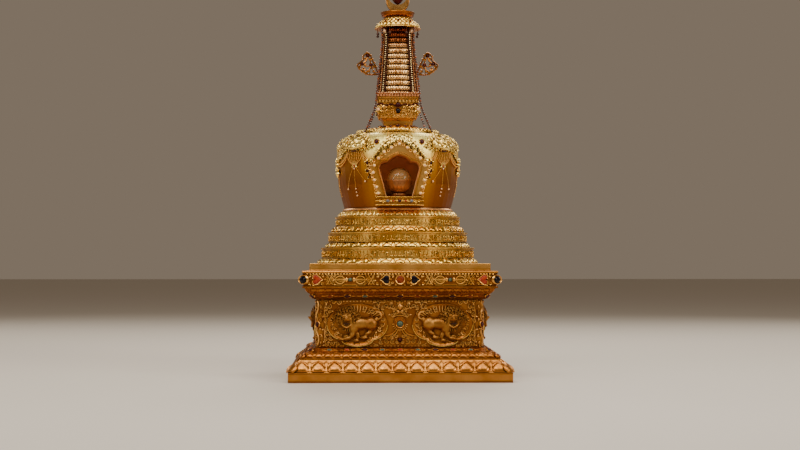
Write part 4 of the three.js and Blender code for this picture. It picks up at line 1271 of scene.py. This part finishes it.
UMBRELLA_LINE = table("""46 1299.8, 84 1297.4, 86.5 1297.4, 86.5 1298.4, 84 1300, 70 1311, 57 1323,
    50 1334""")
BRIM_LINE = table("46 1298.4, 60 1296.4, 78 1295.4, 86 1296.2, 86 1297.2, 60 1298, 46 1299.6")
BOWL_LINE = table("""44 1334.4, 47 1338, 50 1341.5, 57.5 1343, 60 1345.5, 60.6 1350, 61.5 1354, 63.8 1357,
    63.8 1359, 62 1359.2""")
canopy = standing((leaf(18, 24, 5), 83, 1299, 26, 35, 0), (leaf(16, 22, 5), 71, 1308, 26, 33, 0.5),
                  (leaf(15, 20, 4.5), 61, 1316, 22, 26, 0), (leaf(12, 14, 3), 52.5, 1325, 20, 12, 0.5))
for k in range(24):
    canopy.append(placed(volute(4.5, 1.3, 1.8, 10), spot(k * 15 + 7, 79, 1304, 45, k * 50)))
    canopy.append(placed(volute(4, 1.3, 1.6, 10), spot(k * 15 - 3, 66.5, 1315, 45, 200 + k * 30)))
canopy += [round_line(85.4, 1298.4, 1.3, 6, 96), round_line(50, 1335.5, 1.8, 6, 64)]
piece("umbrella_leaves", canopy, "petal")
piece("umbrella_top", [lathe(UMBRELLA_LINE, 96)], "relief", ["umbrella"])
piece("umbrella_brim", [lathe(BRIM_LINE, 96, True)], "brim")
drops = Work("umbrella_drops", [a + 22.5 for a in EIGHTHS])
drops.add("dark", ball(5.4, 10, 6), stand(0, 81, 1274))
drops.add("link", ball(2.6, 8, 4), stand(0, 81.5, 1282))
drops.add("link", tube([(0, 0, 0), (0, 10, 0)], 1.0, 5), stand(0, 82, 1283))
drops.gem("garnet", stand(22.5, 66, 1322, 35), 4, height=4)
drops.finish()
piece("bowl", [lathe(BOWL_LINE, 80)], "red", ["upper_bowl"])
piece("bowl_rim", [round_line(62.6, 1357.4, 1.9, 8, 80), round_line(48.5, 1340, 1.4, 6, 64)], "shaded")
moon = [(41.8 * math.sin(a), 1403 - 41.8 * math.cos(a), 0) for a in np.linspace(-2.2, 2.2, 40)]
finial = Work("crescent", (0, 180))
finial.add("moon", tube(moon, 2.2), moved(z=6))
finial.finish()


# Camera, light and floor

WARM = (1, 0.94, 0.84)
PALE = (1, 0.96, 0.88)
# Soft lights: name, place, height they aim at, size, power and colour
LIGHTS = (
    ("key", (-1.1, -2.6, 3.7), 0.7, (2.4, 1.4), 85, WARM),
    ("second", (1.5, -2.2, 3.5), 0.7, (1.8, 1.4), 40, WARM),
    ("left", (-4.4, -3.2, 2.5), 0.8, (1.8, 2.0), 70, WARM),
    ("right", (4.4, -3.2, 2.5), 0.8, (1.8, 2.0), 120, WARM),
    ("top", (0, -0.9, 4.1), 0.7, (2.2, 1.6), 40, PALE),
    ("back", (0.4, 2.9, 3.5), 0.7, (2.8, 1.6), 110, WARM),
    ("back_left", (-4.0, 3.4, 2.4), 0.8, (1.8, 1.8), 42, WARM),
    ("back_right", (4.0, 3.4, 2.4), 0.8, (1.8, 1.8), 42, WARM),
)

camera = bpy.data.objects.new("camera", bpy.data.cameras.new("camera"))
camera.location = (-0.1508, -5.398, 0.42)
camera.rotation_euler = (math.radians(90 + 1.475), 0, math.radians(-1.696))
camera.data.sensor_width = 36
camera.data.lens = 64.7
bpy.context.scene.collection.objects.link(camera)
bpy.context.scene.camera = camera

world = bpy.data.worlds.new("studio")
bpy.context.scene.world = world
world.use_nodes = True
feed(world.node_tree, world.node_tree.nodes["Background"], {"Color": (0.62, 0.49, 0.36, 1), "Strength": 0.34})

for name, place, height, size, power, colour in LIGHTS:
    data = bpy.data.lights.new(f"{name}_softbox", "AREA")
    data.shape = "RECTANGLE"
    data.size, data.size_y = size
    data.energy = power
    data.color = colour
    light = bpy.data.objects.new(data.name, data)
    light.location = place
    light.rotation_euler = (Vector((0, 0, height)) - Vector(place)).to_track_quat("-Z", "Y").to_euler()
    bpy.context.scene.collection.objects.link(light)

floor_mesh = bpy.data.meshes.new("floor")
floor_corners = [(x, y, 0) for x, y in ((-30, -30), (30, -30), (30, 30), (-30, 30))]
floor_mesh.from_pydata(floor_corners, [], [(0, 1, 2, 3)])
floor_look, _ = new_material("studio_floor", {"Base Color": (0.62, 0.57, 0.51, 1), "Roughness": 0.7})
floor_mesh.materials.append(floor_look)
floor = bpy.data.objects.new("floor", floor_mesh)
floor.location.z = CAD_BOX[0][2] - 0.0005
bpy.context.scene.collection.objects.link(floor)
